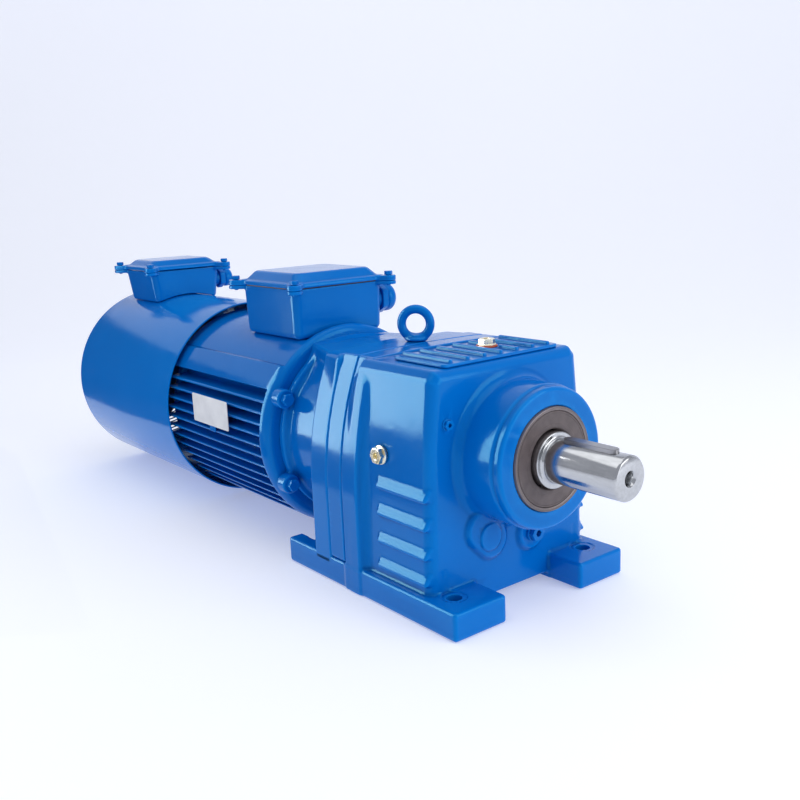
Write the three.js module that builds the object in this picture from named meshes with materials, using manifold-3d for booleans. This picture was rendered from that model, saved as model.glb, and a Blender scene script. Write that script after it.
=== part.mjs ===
// Foot-mounted inline helical gear unit with a finned motor and a separately driven cooling fan.
// Millimetres, +Z up.  The output shaft points along +X.  The origin is the centre of the feet's
// rectangle, on the foot plane, under the output shaft.
import * as THREE from "three";
import { mergeVertices } from "three/addons/utils/BufferGeometryUtils.js";
import Module from "manifold-3d";

const wasm = await Module();
wasm.setup();

// ---------------------------------------------------------------- driving dimensions
const GAP = 0.3; // clearance left between neighbouring pieces
const OUTPUT_Z = 180; // shaft height over the foot plane
const MOTOR_Z = 157; // height of the motor axis

const FOOT = { width: 280, rail: 78, height: 33, front: 166, rear: -167, corner: 5 };
const FOOT_HOLE = { radius: 9, y: 108, front: 129, rear: -140 };
const SPOTFACE = { radius: 15, depth: 1 }; // machined bolt seats round the foot holes
const BODY = { front: 114, rear: -20, low: 130, crease: 125, high: 117, top: 108 };
const BODY_Z = { crease: 198, high: 277, top: 287 };
const WALL = 10; // casting thickness
const CAVITY_FLOOR = 18.5;
const TOP_OPENING = { x0: 22, x1: 98, half: 84 };
const RIB_HEIGHTS = [50, 81, 115, 148]; // four slanted ribs on each side wall
const CAPSULE = { y: -43, z: 86, half: 8, radius: 22, proud: 7 }; // intermediate bearing cap
const FLANGE = { half: 140, flank: 120, top: 289, rear: -37, front: -6 };
const SHIELD_FLANGE = { rear: -103, top: 283 }; // the motor's flange, a little lower
const SADDLE = { rearHalf: 62, frontHalf: 96, bottom: 230 }; // block between frame and flange
const ADAPTER = { rear: -66.7, front: FLANGE.rear - GAP };
const SHIELD = { rear: -199.7, front: ADAPTER.rear - GAP };
const FLANGE_FOOT_GAP = FOOT.height + 1; // adapter and motor flange end just above the rails
const BOSS = { radius: 84, front: 178, bore: 60.3, shoulder: 125, through: 50, chamfer: 5 };

const LEVEL_PLUG = { x: 31, z: 183 };
const DRAIN_PLUG = { y: 30, z: 71, boss: 20, proud: 5 };
const FRONT_PLUG = { y: -98, z: 227 };
const BREATHER = { x: 58, y: 18, pad: 1 };
const COVER_PLATE = 4; // thickness of the top cover between its ribs
const PLUG = { shank: 8, length: 12, hexagon: 10.5, collar: 11.5, hole: 8.7 };
const FRONT_PLUG_SCALE = 0.6; // the plug high on the front face is smaller than the others
const EYEBOLT = { x: -52.3, ring: 18.5, wire: 5.7, collar: 13, shank: 8 };

const SHAFT = { end: 286, step: 186, radius: 25, seal: 32.5, wheelSeat: 30, collar: 35 };
const KEY = { width: 14, height: 9, depth: 5.5, start: 197, end: 270 };
const WHEEL_KEY = { width: 18, height: 10, depth: 7, start: 28, end: 60 };
const SEAL = { rear: 169, front: 181, split: 55.5 };
const CENTRE_HOLE = { radius: 7, depth: 40, mouth: 10 };

// Gear train: transverse module, teeth, centre distances and face positions.
const STAGE1 = { module: 2, pinion: 16, wheel: 66, rear: -33, front: -9, helix: 12 };
const STAGE2 = { module: 3, pinion: 16, wheel: 52, rear: 24, front: 62, helix: 10 };
const A1 = (STAGE1.module * (STAGE1.pinion + STAGE1.wheel)) / 2;
const A2 = (STAGE2.module * (STAGE2.pinion + STAGE2.wheel)) / 2;
// The intermediate axis lies A1 from the motor axis and A2 from the output axis.
const RISE = OUTPUT_Z - MOTOR_Z;
const DROP = ((A2 * A2 - A1 * A1) / RISE - RISE) / 2;
const MID_Z = MOTOR_Z - DROP;
const MID_Y = -Math.sqrt(A1 * A1 - DROP * DROP);
const BACKLASH = 0.45;
const PRESSURE_ANGLE = THREE.MathUtils.degToRad(20);

const WEB = { rear: -4, front: 18, outputBore: 45.3, midBore: 33 };
const MID_SHAFT = { rear: -54, seat: 14.7, wheelSeat: 17, body: 19, bore: 31.3, frontSeat: 82, front: 99 };
const PINION_SHANK = { rear: -84, radius: 10 };

const FRAME = { rear: -500, front: -200, fin: 146, root: 119, bore: 104.5 };
const FIN = { pitch: 15, thick: 4.5, lowest: -98, count: 11 };
const FRAME_TOP = 68; // the frame is plain above this height over the motor axis
const FRAME_BOTTOM = -112; // and below this one
// Lugs round the shield's ring: angles about the motor axis, at the radius of their bolts.
const LUG = { angles: [26, 154, 206, 334], reach: 134, radius: 13, front: SHIELD.rear + 18, hole: 5 };
const NAMEPLATE = { x0: -396, x1: -292, z0: 158, z1: 200, y: -149.5 };
const COVER = { rear: -849, front: -478, radius: 155.5, wall: 2.5 };
const CORE = { rear: -440, front: -290, rotor: 60, air: 60.8, stator: 104 };
const WINDING = { outer: 96, inner: 66, length: 32 };
const ROTOR = { seat: 32, collar: 28, bearing: 22.2 };
const FAN_MOTOR = { rear: -790, front: -716, radius: 42 };
const FAN = { blades: 7, tip: 138, hub: 46, pitch: 38, chord: 30, depth: 36 };

const BOX = {
  x0: -358, x1: -216, half: 73, topHalf: 75, z0: 284, z1: 353, lid: 374,
  gland: { x: -240, z: 326, radius: 23 },
};
const FAN_BOX = {
  x0: -802, x1: -688, half: 58, topHalf: 66, z0: 292, z1: 357, lid: 375,
  gland: { x: -710, z: 335, radius: 19 },
};
const EAR = 11; // radius of the corner lugs that hold a terminal box's lid
const EAR_HOLE = 3.4;

// Bearings as inner and outer radius, rear face, width and axis.
const OUTPUT_AXIS = [0, OUTPUT_Z];
const MID_AXIS = [MID_Y, MID_Z];
const MOTOR_AXIS = [0, MOTOR_Z];
const BEARINGS = {
  output_rear: { inner: SHAFT.radius, outer: 45, x: -3, width: 20, axis: OUTPUT_AXIS },
  output_front: { inner: SHAFT.seal + GAP, outer: 60, x: 127, width: 23, axis: OUTPUT_AXIS },
  intermediate_rear: { inner: 15, outer: 31, x: -54, width: 16, axis: MID_AXIS },
  intermediate_front: { inner: 15, outer: 31, x: 83, width: 16, axis: MID_AXIS },
  motor_drive_end: { inner: 22.5, outer: 50, x: -108, width: 25, axis: MOTOR_AXIS },
  motor_fan_end: { inner: 22.5, outer: 42.5, x: -532, width: 19, axis: MOTOR_AXIS },
};

// ---------------------------------------------------------------- materials
const paint = (color, roughness, metalness) =>
  new THREE.MeshStandardMaterial({ color, roughness, metalness });
const BLUE = paint(0x0b5cb8, 0.28, 0.1);
const STEEL = paint(0xb9babd, 0.32, 0.9);
const DARK_STEEL = paint(0x6d6f73, 0.45, 0.85);
const CORE_STEEL = paint(0x55585c, 0.6, 0.7);
const RUBBER = paint(0x4a4044, 0.7, 0.0);
const BRASS = paint(0xc9a24a, 0.3, 0.9);
const COPPER = paint(0x9a4f24, 0.45, 0.6);
const PLATE = paint(0xd9d9da, 0.4, 0.5);
const BLACK = paint(0x1b1c1e, 0.6, 0.0);

// ---------------------------------------------------------------- solids
// A three.js geometry as a closed solid, with shared vertices merged and its faces pointing out.
function solid(geometry) {
  const bare = geometry.clone();
  bare.deleteAttribute("normal");
  bare.deleteAttribute("uv");
  const merged = mergeVertices(bare, 1e-4);
  const corners = [];
  for (let i = 0; i < merged.index.count; i += 3) {
    const [a, b, c] = [0, 1, 2].map((k) => merged.index.getX(i + k));
    if (a !== b && b !== c && c !== a) corners.push(a, b, c);
  }
  const make = (triangles) =>
    new wasm.Manifold(
      new wasm.Mesh({
        numProp: 3,
        vertProperties: new Float32Array(merged.attributes.position.array),
        triVerts: new Uint32Array(triangles),
      }),
    );
  const made = make(corners);
  return made.volume() < 0 ? make(corners.reverse()) : made;
}

const join = (...solids) => solids.reduce((a, b) => a.add(b));
const cut = (first, ...others) => others.reduce((a, b) => a.subtract(b), first);

// Turns a shape drawn in (Y, Z) and extruded along its own Z so that it runs along X.
const ALONG_X = new THREE.Matrix4().makeBasis(
  new THREE.Vector3(0, 1, 0),
  new THREE.Vector3(0, 0, 1),
  new THREE.Vector3(1, 0, 0),
);
// Turns the Y axis of lathes and cylinders to X.
const LATHE_X = new THREE.Matrix4().makeBasis(
  new THREE.Vector3(0, 0, 1),
  new THREE.Vector3(1, 0, 0),
  new THREE.Vector3(0, 1, 0),
);

function box(x0, x1, y0, y1, z0, z1) {
  const geometry = new THREE.BoxGeometry(x1 - x0, y1 - y0, z1 - z0);
  return solid(geometry.translate((x0 + x1) / 2, (y0 + y1) / 2, (z0 + z1) / 2));
}

function prismX(shape, x0, x1, curveSegments = 4) {
  const options = { depth: x1 - x0, bevelEnabled: false, curveSegments };
  const geometry = new THREE.ExtrudeGeometry(shape, options);
  return solid(geometry.applyMatrix4(ALONG_X).translate(x0, 0, 0));
}

function prismZ(shape, z0, z1, curveSegments = 6) {
  const options = { depth: z1 - z0, bevelEnabled: false, curveSegments };
  return solid(new THREE.ExtrudeGeometry(shape, options).translate(0, 0, z0));
}

const outline = (points) => new THREE.Shape(points.map(([a, b]) => new THREE.Vector2(a, b)));

// A solid of revolution about an axis along X through (y, z); points are [x, radius].
function turned(points, y, z, segments = 32) {
  const profile = points.map(([x, radius]) => new THREE.Vector2(radius, x));
  const geometry = new THREE.LatheGeometry(profile, segments);
  return solid(geometry.applyMatrix4(LATHE_X).translate(0, y, z));
}

const rod = (radius, x0, x1, y, z, segments = 32) =>
  turned([[x0, 0], [x0, radius], [x1, radius], [x1, 0]], y, z, segments);

// A ring whose faceted bore still clears a shaft of the given inner radius.
function ring(outer, inner, x0, x1, y, z, segments = 32) {
  const bore = inner / Math.cos(Math.PI / segments);
  return turned([[x0, bore], [x0, outer], [x1, outer], [x1, bore], [x0, bore]], y, z, segments);
}

// A round bar standing along Z or lying along Y, with any number of sides.
const post = (radius, x, y, z0, z1, sides = 20) =>
  solid(
    new THREE.CylinderGeometry(radius, radius, z1 - z0, sides)
      .rotateX(Math.PI / 2)
      .translate(x, y, (z0 + z1) / 2),
  );
const bar = (radius, x, z, y0, y1, sides = 20) =>
  solid(
    new THREE.CylinderGeometry(radius, radius, y1 - y0, sides).translate(x, (y0 + y1) / 2, z),
  );

// A box with a smaller foot than top, as cast terminal boxes have.
function taperedBox(x0, x1, halfLow, halfHigh, z0, z1) {
  const low = outline([[-halfLow, z0], [halfLow, z0], [halfHigh, z1], [-halfHigh, z1]]);
  return prismX(low, x0, x1);
}

// ---------------------------------------------------------------- assembly
const gearmotor = new THREE.Group();
gearmotor.name = "helical_gearmotor";

function piece(name, shape, material) {
  const mesh = shape.getMesh();
  const geometry = new THREE.BufferGeometry();
  geometry.setAttribute("position", new THREE.BufferAttribute(mesh.vertProperties, 3));
  geometry.setIndex(new THREE.BufferAttribute(mesh.triVerts, 1));
  const faceted = geometry.toNonIndexed();
  faceted.computeVertexNormals();
  const made = new THREE.Mesh(faceted, material);
  made.name = name;
  gearmotor.add(made);
}

// ---------------------------------------------------------------- gear unit housing
// Rounded-square flange shared by the gearcase, the adapter and the motor shield.
function flangeOutline(bottom, top = FLANGE.top) {
  const { half, flank } = FLANGE;
  const bend = 400;
  const shoulder = top - 1;
  const sweep = Math.asin((shoulder - flank) / bend);
  const side = half - bend * (1 - Math.cos(sweep));
  const shape = new THREE.Shape();
  shape.moveTo(-half, bottom);
  shape.lineTo(half, bottom);
  shape.lineTo(half, flank);
  shape.absarc(half - bend, flank, bend, 0, sweep, false);
  shape.quadraticCurveTo(0, top + 3, -side, shoulder);
  shape.absarc(bend - half, flank, bend, Math.PI - sweep, Math.PI, false);
  return shape;
}

// Cross-section of the gearcase body, shrunk by a wall thickness for its cavity.
function bodyOutline(inset, bottom) {
  const half = [
    [BODY.low - inset, bottom],
    [BODY.crease - inset, BODY_Z.crease],
    [BODY.high - inset, BODY_Z.high - inset / 2],
    [BODY.top - inset, BODY_Z.top - inset],
  ];
  return outline([...half, ...half.map(([y, z]) => [-y, z]).reverse()]);
}

function gearcaseBody() {
  const corner = 20;
  const half = BODY.low + 1;
  const plan = new THREE.Shape();
  plan.moveTo(BODY.rear, -half);
  plan.lineTo(BODY.front - corner, -half);
  plan.quadraticCurveTo(BODY.front, -half, BODY.front, corner - half);
  plan.lineTo(BODY.front, half - corner);
  plan.quadraticCurveTo(BODY.front, half, BODY.front - corner, half);
  plan.lineTo(BODY.rear, half);
  const block = prismX(bodyOutline(0, 0), BODY.rear, BODY.front);
  return block.intersect(prismZ(plan, -1, FLANGE.top + 1));
}

function footRails() {
  const { width, rail, height, front, rear, corner } = FOOT;
  const rails = [-1, 1].map((side) => {
    const outer = (side * width) / 2;
    const inner = outer - side * rail;
    const shape = new THREE.Shape();
    shape.moveTo(rear + corner, outer);
    shape.lineTo(front - corner, outer);
    shape.quadraticCurveTo(front, outer, front, outer - side * corner);
    shape.lineTo(front, inner + side * corner);
    shape.quadraticCurveTo(front, inner, front - corner, inner);
    shape.lineTo(rear + corner, inner);
    shape.quadraticCurveTo(rear, inner, rear, inner + side * corner);
    shape.lineTo(rear, outer - side * corner);
    shape.quadraticCurveTo(rear, outer, rear + corner, outer);
    return prismZ(shape, 0, height, 4);
  });
  return join(...rails);
}

// Bolt holes through the rails, each with its spotface.
function footHoles() {
  const holes = [];
  for (const x of [FOOT_HOLE.front, FOOT_HOLE.rear])
    for (const y of [-FOOT_HOLE.y, FOOT_HOLE.y]) {
      holes.push(post(FOOT_HOLE.radius, x, y, -1, FOOT.height + 1, 16));
      holes.push(post(SPOTFACE.radius, x, y, FOOT.height - SPOTFACE.depth, FOOT.height + 2, 24));
    }
  return holes;
}

function sideRibs() {
  const ribs = [];
  for (const side of [-1, 1])
    for (const z of RIB_HEIGHTS) {
      const root = side * (BODY.low - WALL);
      const low = side * (BODY.low + 4 - z * 0.025);
      const shape = outline([[root, z - 6], [low, z - 6], [low, z - 2], [root, z + 10]]);
      ribs.push(prismX(shape, 22, BODY.front - 6));
    }
  return ribs;
}

// Round boss on the front face that carries the output bearing and seal.
function outputBoss() {
  const { radius, front, chamfer } = BOSS;
  const root = BODY.front;
  return turned(
    [
      [root - 2, 0], [root - 2, radius + 14], [root + 4, radius + 8], [root + 12, radius + 3],
      [root + 24, radius], [front - chamfer, radius], [front, radius - chamfer], [front, 0],
    ],
    0, OUTPUT_Z, 32,
  );
}

// Capsule-shaped cap in front of the intermediate bearing, and the drain plug's round boss.
function frontBosses() {
  const { y, z, half, radius, proud } = CAPSULE;
  const root = BODY.front - WALL;
  return [
    rod(radius, root, BODY.front + proud, y - half, z + half, 16),
    rod(radius, root, BODY.front + proud, y + half, z - half, 16),
    rod(DRAIN_PLUG.boss, root, BODY.front + DRAIN_PLUG.proud, DRAIN_PLUG.y, DRAIN_PLUG.z, 18),
  ];
}

// Gear chambers behind and in front of the bearing web, and the opening under the top cover.
function chambers() {
  const inner = bodyOutline(WALL, CAVITY_FLOOR);
  const bearingBoss = rod(MID_SHAFT.bore + WALL, 80, BODY.front - WALL, MID_Y, MID_Z, 20);
  const { x0, x1, half } = TOP_OPENING;
  return [
    prismX(inner, FLANGE.rear - 1, WEB.rear),
    cut(prismX(inner, WEB.front, BODY.front - WALL - 2), bearingBoss),
    box(x0, x1, -half, half, BODY_Z.top - 2 * WALL, BODY_Z.top + WALL),
  ];
}

function bores() {
  const inside = BODY.front - WALL - 4;
  const side = BODY.crease + WALL;
  return [
    rod(BOSS.through, inside, BOSS.shoulder + 1, 0, OUTPUT_Z, 24),
    rod(BOSS.bore, BOSS.shoulder, BOSS.front + 1, 0, OUTPUT_Z, 32),
    rod(WEB.outputBore, WEB.rear - 1, WEB.front + 1, 0, OUTPUT_Z, 36),
    rod(WEB.midBore, WEB.rear - 1, WEB.front + 1, MID_Y, MID_Z, 20),
    rod(MID_SHAFT.bore, 79, BODY.front - WALL + 1, MID_Y, MID_Z, 20),
    bar(PLUG.hole, LEVEL_PLUG.x, LEVEL_PLUG.z, -side, -side + 3 * WALL, 12),
    rod(PLUG.hole, inside, BODY.front + WALL, DRAIN_PLUG.y, DRAIN_PLUG.z, 12),
    rod(PLUG.hole * FRONT_PLUG_SCALE, inside, BODY.front + WALL, FRONT_PLUG.y, FRONT_PLUG.z, 12),
  ];
}

// The underside is recessed between the rails, either side of a machined cross rib.
function undersideRecesses() {
  const half = FOOT.width / 2 - FOOT.rail;
  const depth = 9;
  return [
    box(30, BODY.front + 6, -half, half, -1, depth),
    box(FLANGE.rear - 3, FLANGE.rear + 7, -half, half, -1, depth),
  ];
}

function gearcase() {
  const casting = join(
    gearcaseBody(),
    prismX(flangeOutline(0), FLANGE.rear, FLANGE.front),
    footRails(),
    ...sideRibs(),
    outputBoss(),
    ...frontBosses(),
  );
  return cut(casting, ...chambers(), ...bores(), ...undersideRecesses(), ...footHoles());
}

function topCover() {
  const bottom = BODY_Z.top + GAP;
  const { x0, x1, half } = TOP_OPENING;
  const [lap, thick, rib] = [8, COVER_PLATE, 2.5];
  const plate = box(x0 - lap, x1 + lap, -half - lap, half + lap, bottom, bottom + thick);
  const ribs = [];
  for (let across = -78; across <= 78; across += 26)
    ribs.push(
      box(x0 - 4, x1 + 4, across - rib, across + rib, bottom + thick - 1, bottom + thick + 4),
    );
  const { x, y, pad: proud } = BREATHER;
  const seat = bottom + thick + proud;
  const pad = post(15, x, y, bottom + 2, seat, 24);
  const room = post(15, x, y, seat, seat + 9, 24); // the ribs stop short of the breather
  const hole = post(PLUG.hole, x, y, bottom - 1, bottom + 20);
  return cut(join(plate, pad, ...ribs), room, hole);
}

// Plate between the gearcase and the motor: it holds the rear intermediate bearing and the
// motor shaft seal.
function adapterPlate() {
  const plate = prismX(flangeOutline(FLANGE_FOOT_GAP), ADAPTER.rear, ADAPTER.front);
  return cut(
    plate,
    rod(36.6, ADAPTER.rear - 1, ADAPTER.front + 1, 0, MOTOR_Z, 20),
    rod(MID_SHAFT.bore, MID_SHAFT.rear - 2, ADAPTER.front + 1, MID_Y, MID_Z, 20),
    post(EYEBOLT.shank + GAP, EYEBOLT.x, 0, FLANGE.top - 27, FLANGE.top + 10),
  );
}

// ---------------------------------------------------------------- plugs and eyebolt
// A plug along X: shank, sealing collar and hexagon, with a hexagon socket.
function plug() {
  const shank = rod(PLUG.shank, -PLUG.length, 1, 0, 0, 12);
  const collar = rod(PLUG.collar, GAP, 3, 0, 0, 18);
  const hexagon = rod(PLUG.hexagon, 2.5, 10, 0, 0, 6);
  const socket = rod(4.2, 4, 11, 0, 0, 6);
  return cut(join(shank, collar, hexagon), socket);
}

function eyebolt() {
  const { x, ring, wire, collar, shank } = EYEBOLT;
  const seat = FLANGE.top + 2.6;
  const collarTop = seat + 4.4;
  const torus = solid(new THREE.TorusGeometry(ring, wire, 8, 20))
    .rotate([90, 0, 40])
    .translate([x, 0, collarTop + 17]);
  return join(
    torus,
    post(collar, x, 0, seat, collarTop, 16),
    post(collar - 3, x, 0, collarTop - 1, collarTop + 3, 12),
    post(shank, x, 0, FLANGE.top - 22, seat + 1, 12),
  );
}

// ---------------------------------------------------------------- gears
// Half the angle a tooth takes up at a given radius: involute above the base circle.
function halfTooth(radius, pitchRadius, teeth) {
  const base = pitchRadius * Math.cos(PRESSURE_ANGLE);
  const involute = (angle) => Math.tan(angle) - angle;
  const angle = radius > base ? Math.acos(base / radius) : 0;
  const pitchHalf = Math.PI / (2 * teeth) - BACKLASH / (4 * pitchRadius);
  return pitchHalf + involute(PRESSURE_ANGLE) - involute(angle);
}

// A helical gear along X: phase is the angle of a tooth's centre at x0, twist the turn to x1.
function gear(stage, teeth, phase, twist, steps, y, z) {
  const pitchRadius = (stage.module * teeth) / 2;
  const addendum = 0.95 * stage.module;
  const radii = [pitchRadius - 1.25 * stage.module, pitchRadius + addendum];
  if (teeth < 30) radii.splice(1, 0, pitchRadius - 0.3 * stage.module);
  const points = [];
  for (let tooth = 0; tooth < teeth; tooth++) {
    const centre = phase + (tooth * 2 * Math.PI) / teeth;
    const flank = radii.map((radius) => [radius, halfTooth(radius, pitchRadius, teeth)]);
    for (const [radius, half] of flank)
      points.push([radius * Math.cos(centre - half), radius * Math.sin(centre - half)]);
    for (const [radius, half] of flank.reverse())
      points.push([radius * Math.cos(centre + half), radius * Math.sin(centre + half)]);
  }
  const depth = stage.front - stage.rear;
  const options = { depth, steps, bevelEnabled: false };
  const geometry = new THREE.ExtrudeGeometry(outline(points), options);
  const position = geometry.attributes.position;
  const point = new THREE.Vector3();
  const axis = new THREE.Vector3(0, 0, 1);
  for (let i = 0; i < position.count; i++) {
    point.fromBufferAttribute(position, i);
    point.applyAxisAngle(axis, (twist * point.z) / depth);
    position.setXYZ(i, point.x, point.y, point.z);
  }
  return solid(geometry.applyMatrix4(ALONG_X).translate(stage.rear, y, z));
}

// Pinion and wheel in mesh: a pinion tooth and a wheel gap lie on the line of centres.
function meshedPair(stage, pinionAt, wheelAt) {
  const [dy, dz] = [wheelAt[0] - pinionAt[0], wheelAt[1] - pinionAt[1]];
  const towardsWheel = Math.atan2(dz, dy);
  const pinionRadius = (stage.module * stage.pinion) / 2;
  const lead = (stage.front - stage.rear) * Math.tan(THREE.MathUtils.degToRad(stage.helix));
  const twist = lead / pinionRadius;
  const pinion = gear(stage, stage.pinion, towardsWheel, twist, 3, ...pinionAt);
  const wheelPhase = towardsWheel + Math.PI + Math.PI / stage.wheel;
  const wheelTwist = (-twist * stage.pinion) / stage.wheel;
  const wheel = gear(stage, stage.wheel, wheelPhase, wheelTwist, 1, ...wheelAt);
  return { pinion, wheel };
}

// ---------------------------------------------------------------- bearings
// A ball bearing as its two rings, with the raceway gap between them left open.
function bearing(name, { inner, outer, x, width, axis }) {
  const thick = (outer - inner) / 3.2;
  const rings = { outer: [outer, outer - thick], inner: [inner + thick, inner] };
  for (const [side, radii] of Object.entries(rings))
    piece(`${name}_bearing_${side}_ring`, ring(...radii, x, x + width, ...axis, 20), STEEL);
}

// ---------------------------------------------------------------- motor parts
function motorFrame() {
  const { rear, front, fin, root, bore } = FRAME;
  const envelope = rod(fin, rear, front, 0, MOTOR_Z, 36);
  const pieces = [rod(root, rear, front, 0, MOTOR_Z, 32)];
  for (let i = 0; i < FIN.count; i++) {
    const z = MOTOR_Z + FIN.lowest + i * FIN.pitch;
    pieces.push(box(rear, front, -fin, fin, z - FIN.thick / 2, z + FIN.thick / 2));
  }
  pieces.push(box(rear, front, -fin, fin, MOTOR_Z + FRAME_TOP, MOTOR_Z + fin));
  pieces.push(box(rear, front, -fin, fin, MOTOR_Z - fin, MOTOR_Z + FRAME_BOTTOM));
  const finned = join(...pieces).intersect(envelope);
  const seat = 4; // the terminal box's seat is wider than the box
  return cut(
    finned,
    rod(bore, rear - 1, front + 1, 0, MOTOR_Z, 32),
    box(BOX.x0 - seat, BOX.x1 + seat, -BOX.half - seat, BOX.half + seat, BOX.z0 - GAP, BOX.lid),
    post(20, (BOX.x0 + BOX.x1) / 2, 0, MOTOR_Z + 90, BOX.z0 + 10, 24),
  );
}

// Block on top of the shield's neck that carries the frame's flat top over to the flange.
function saddle() {
  const { rear: flangeRear, top } = SHIELD_FLANGE;
  const { rearHalf, frontHalf, bottom } = SADDLE;
  const [rear, front] = [SHIELD.rear, flangeRear + 1];
  const plan = outline([[rear, -rearHalf], [front, -frontHalf], [front, frontHalf], [rear, rearHalf]]);
  const room = rod(99, rear - 1, front + 1, 0, MOTOR_Z, 32);
  return cut(prismZ(plan, bottom, top - 2), room);
}

function driveEndShield() {
  const { rear, front } = SHIELD;
  const { rear: flangeRear, top } = SHIELD_FLANGE;
  const neck = turned(
    [
      [rear, 99], [rear, 126], [rear + 12, 126], [rear + 16, 119], [rear + 34, 116],
      [rear + 60, 122], [rear + 78, 130], [flangeRear + 1, 136], [flangeRear + 1, 99], [rear, 99],
    ],
    0, MOTOR_Z, 32,
  );
  const flange = prismX(flangeOutline(FLANGE_FOOT_GAP, top), flangeRear, front);
  const lugs = LUG.angles.map((angle) => rod(LUG.radius, rear, LUG.front, ...lugPoint(angle), 12));
  const boltHoles = LUG.angles.map((angle) =>
    rod(LUG.hole, rear - 1, LUG.front + 1, ...lugPoint(angle), 8),
  );
  const seat = BEARINGS.motor_drive_end;
  const shoulder = seat.x + seat.width + 1;
  return cut(
    join(neck, saddle(), flange, ...lugs),
    ...boltHoles,
    rod(seat.outer + GAP, flangeRear - 1, shoulder, 0, MOTOR_Z, 20),
    rod(38, shoulder - 1, front + 1, 0, MOTOR_Z, 20),
  );
}

function lugPoint(angle) {
  const a = THREE.MathUtils.degToRad(angle);
  return [LUG.reach * Math.cos(a), MOTOR_Z + LUG.reach * Math.sin(a)];
}

function shieldBolt(angle) {
  const [y, z] = lugPoint(angle);
  const head = rod(8.5, LUG.front + GAP, LUG.front + 8, y, z, 6);
  return join(head, rod(LUG.hole - 0.5, SHIELD.rear + 2, LUG.front + 1, y, z, 8));
}

function nameplate() {
  const { x0, x1, z0, z1, y } = NAMEPLATE;
  const plate = box(x0, x1, y - 1.5, y, z0, z1);
  const [middle, half] = [(x0 + x1) / 2, 14];
  const bracket = box(middle - half, middle + half, y - 1, y + 2.5, z0 - 9, z1 - 6);
  return join(plate, bracket);
}

function fanEndShield() {
  const rear = FRAME.rear - GAP;
  const dish = turned(
    [
      [rear, 0], [rear, 128], [rear - 12, 128], [rear - 26, 70], [rear - 40, 60],
      [rear - 40, 0],
    ],
    0, MOTOR_Z, 28,
  );
  const hollow = [[rear + 1, 95], [rear + 1, 0], [rear - 8, 0], [rear - 12, 60], [rear + 1, 95]];
  return cut(
    dish,
    rod(BEARINGS.motor_fan_end.outer + GAP, rear - 36, rear + 1, 0, MOTOR_Z, 20),
    turned(hollow, 0, MOTOR_Z, 20),
  );
}

function rotorShaft() {
  const { seat, collar, bearing: journal } = ROTOR;
  const { motor_fan_end: fanEnd, motor_drive_end: driveEnd } = BEARINGS;
  const [rear, front] = [fanEnd.x - 1, ADAPTER.front - 0.4];
  const fanShoulder = fanEnd.x + fanEnd.width + 1;
  const driveShoulder = driveEnd.x - 0.2;
  const shaft = turned(
    [
      [rear, 0], [rear, journal], [fanShoulder, journal], [fanShoulder, collar],
      [CORE.rear - 30, collar], [CORE.rear - 30, seat], [CORE.front + 20, seat],
      [CORE.front + 20, 26], [driveShoulder, 26], [driveShoulder, journal],
      [front - 2, journal], [front, journal - 2], [front, 0],
    ],
    0, MOTOR_Z, 20,
  );
  return cut(shaft, rod(PINION_SHANK.radius + GAP, PINION_SHANK.rear - 1, front + 1, 0, MOTOR_Z, 20));
}

function fanCover() {
  const { rear, front, radius, wall } = COVER;
  const inner = radius - wall;
  const lip = radius - 23.5; // the rear edge turns inwards to here
  const shell = turned(
    [
      [rear, lip], [rear, radius - 8], [rear + 2, radius - 3], [rear + 8, radius],
      [front, radius], [front, inner], [rear + 9, inner], [rear + 4, radius - 9],
      [rear + wall, lip], [rear, lip],
    ],
    0, MOTOR_Z, 36,
  );
  return cut(shell, post(14, (FAN_BOX.x0 + FAN_BOX.x1) / 2, 0, MOTOR_Z + 140, MOTOR_Z + 160, 20));
}

function fanGuard() {
  const x0 = COVER.rear + COVER.wall + GAP;
  const hoops = [142, 100, 60].map((r) => ring(r, r - 3, x0 + 2.2, x0 + 4.5, 0, MOTOR_Z, 20));
  const hub = rod(24, x0, x0 + 4.5, 0, MOTOR_Z, 24);
  const spokes = [0, 60, 120].map((angle) =>
    box(x0 + 2.2, x0 + 4.5, -140, 140, -2, 2).rotate([angle, 0, 0]).translate([0, 0, MOTOR_Z]),
  );
  return join(...hoops, hub, ...spokes);
}

function fanBracket() {
  const [x0, x1] = [FAN_MOTOR.front + GAP, FAN_MOTOR.front + 5];
  const rim = COVER.radius - COVER.wall - GAP;
  const arms = [45, 135].map((angle) =>
    box(x0, x1, -rim, rim, -9, 9).rotate([angle, 0, 0]).translate([0, 0, MOTOR_Z]),
  );
  const hub = rod(FAN_MOTOR.radius + 8, x0, x1, 0, MOTOR_Z, 24);
  return join(...arms, hub).intersect(rod(rim, x0 - 1, x1 + 1, 0, MOTOR_Z, 36));
}

function fanImpeller() {
  const { blades, tip, hub, pitch, chord, depth } = FAN;
  const rear = FAN_MOTOR.rear - depth - 2;
  const front = rear + depth;
  const body = turned(
    [[rear, 0], [rear, hub - 6], [rear + 4, hub], [front, hub], [front, 0]],
    0, MOTOR_Z, 28,
  );
  const vanes = [];
  for (let i = 0; i < blades; i++)
    vanes.push(
      box(-chord / 2, chord / 2, -1.6, 1.6, hub - 6, tip)
        .rotate([0, 0, pitch])
        .translate([rear + depth / 2, 0, 0])
        .rotate([(i * 360) / blades, 0, 0])
        .translate([0, 0, MOTOR_Z]),
    );
  return cut(join(body, ...vanes), rod(7.3, rear + 8, front + 4, 0, MOTOR_Z, 16));
}

// ---------------------------------------------------------------- terminal boxes
// Corner points of a box's screws, outside its walls.
function earPoints({ x0, x1, topHalf }) {
  const [left, right, y] = [x0 - 8, x1 + 8, topHalf + 5];
  return [[left, -y], [right, -y], [left, y], [right, y]];
}

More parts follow.
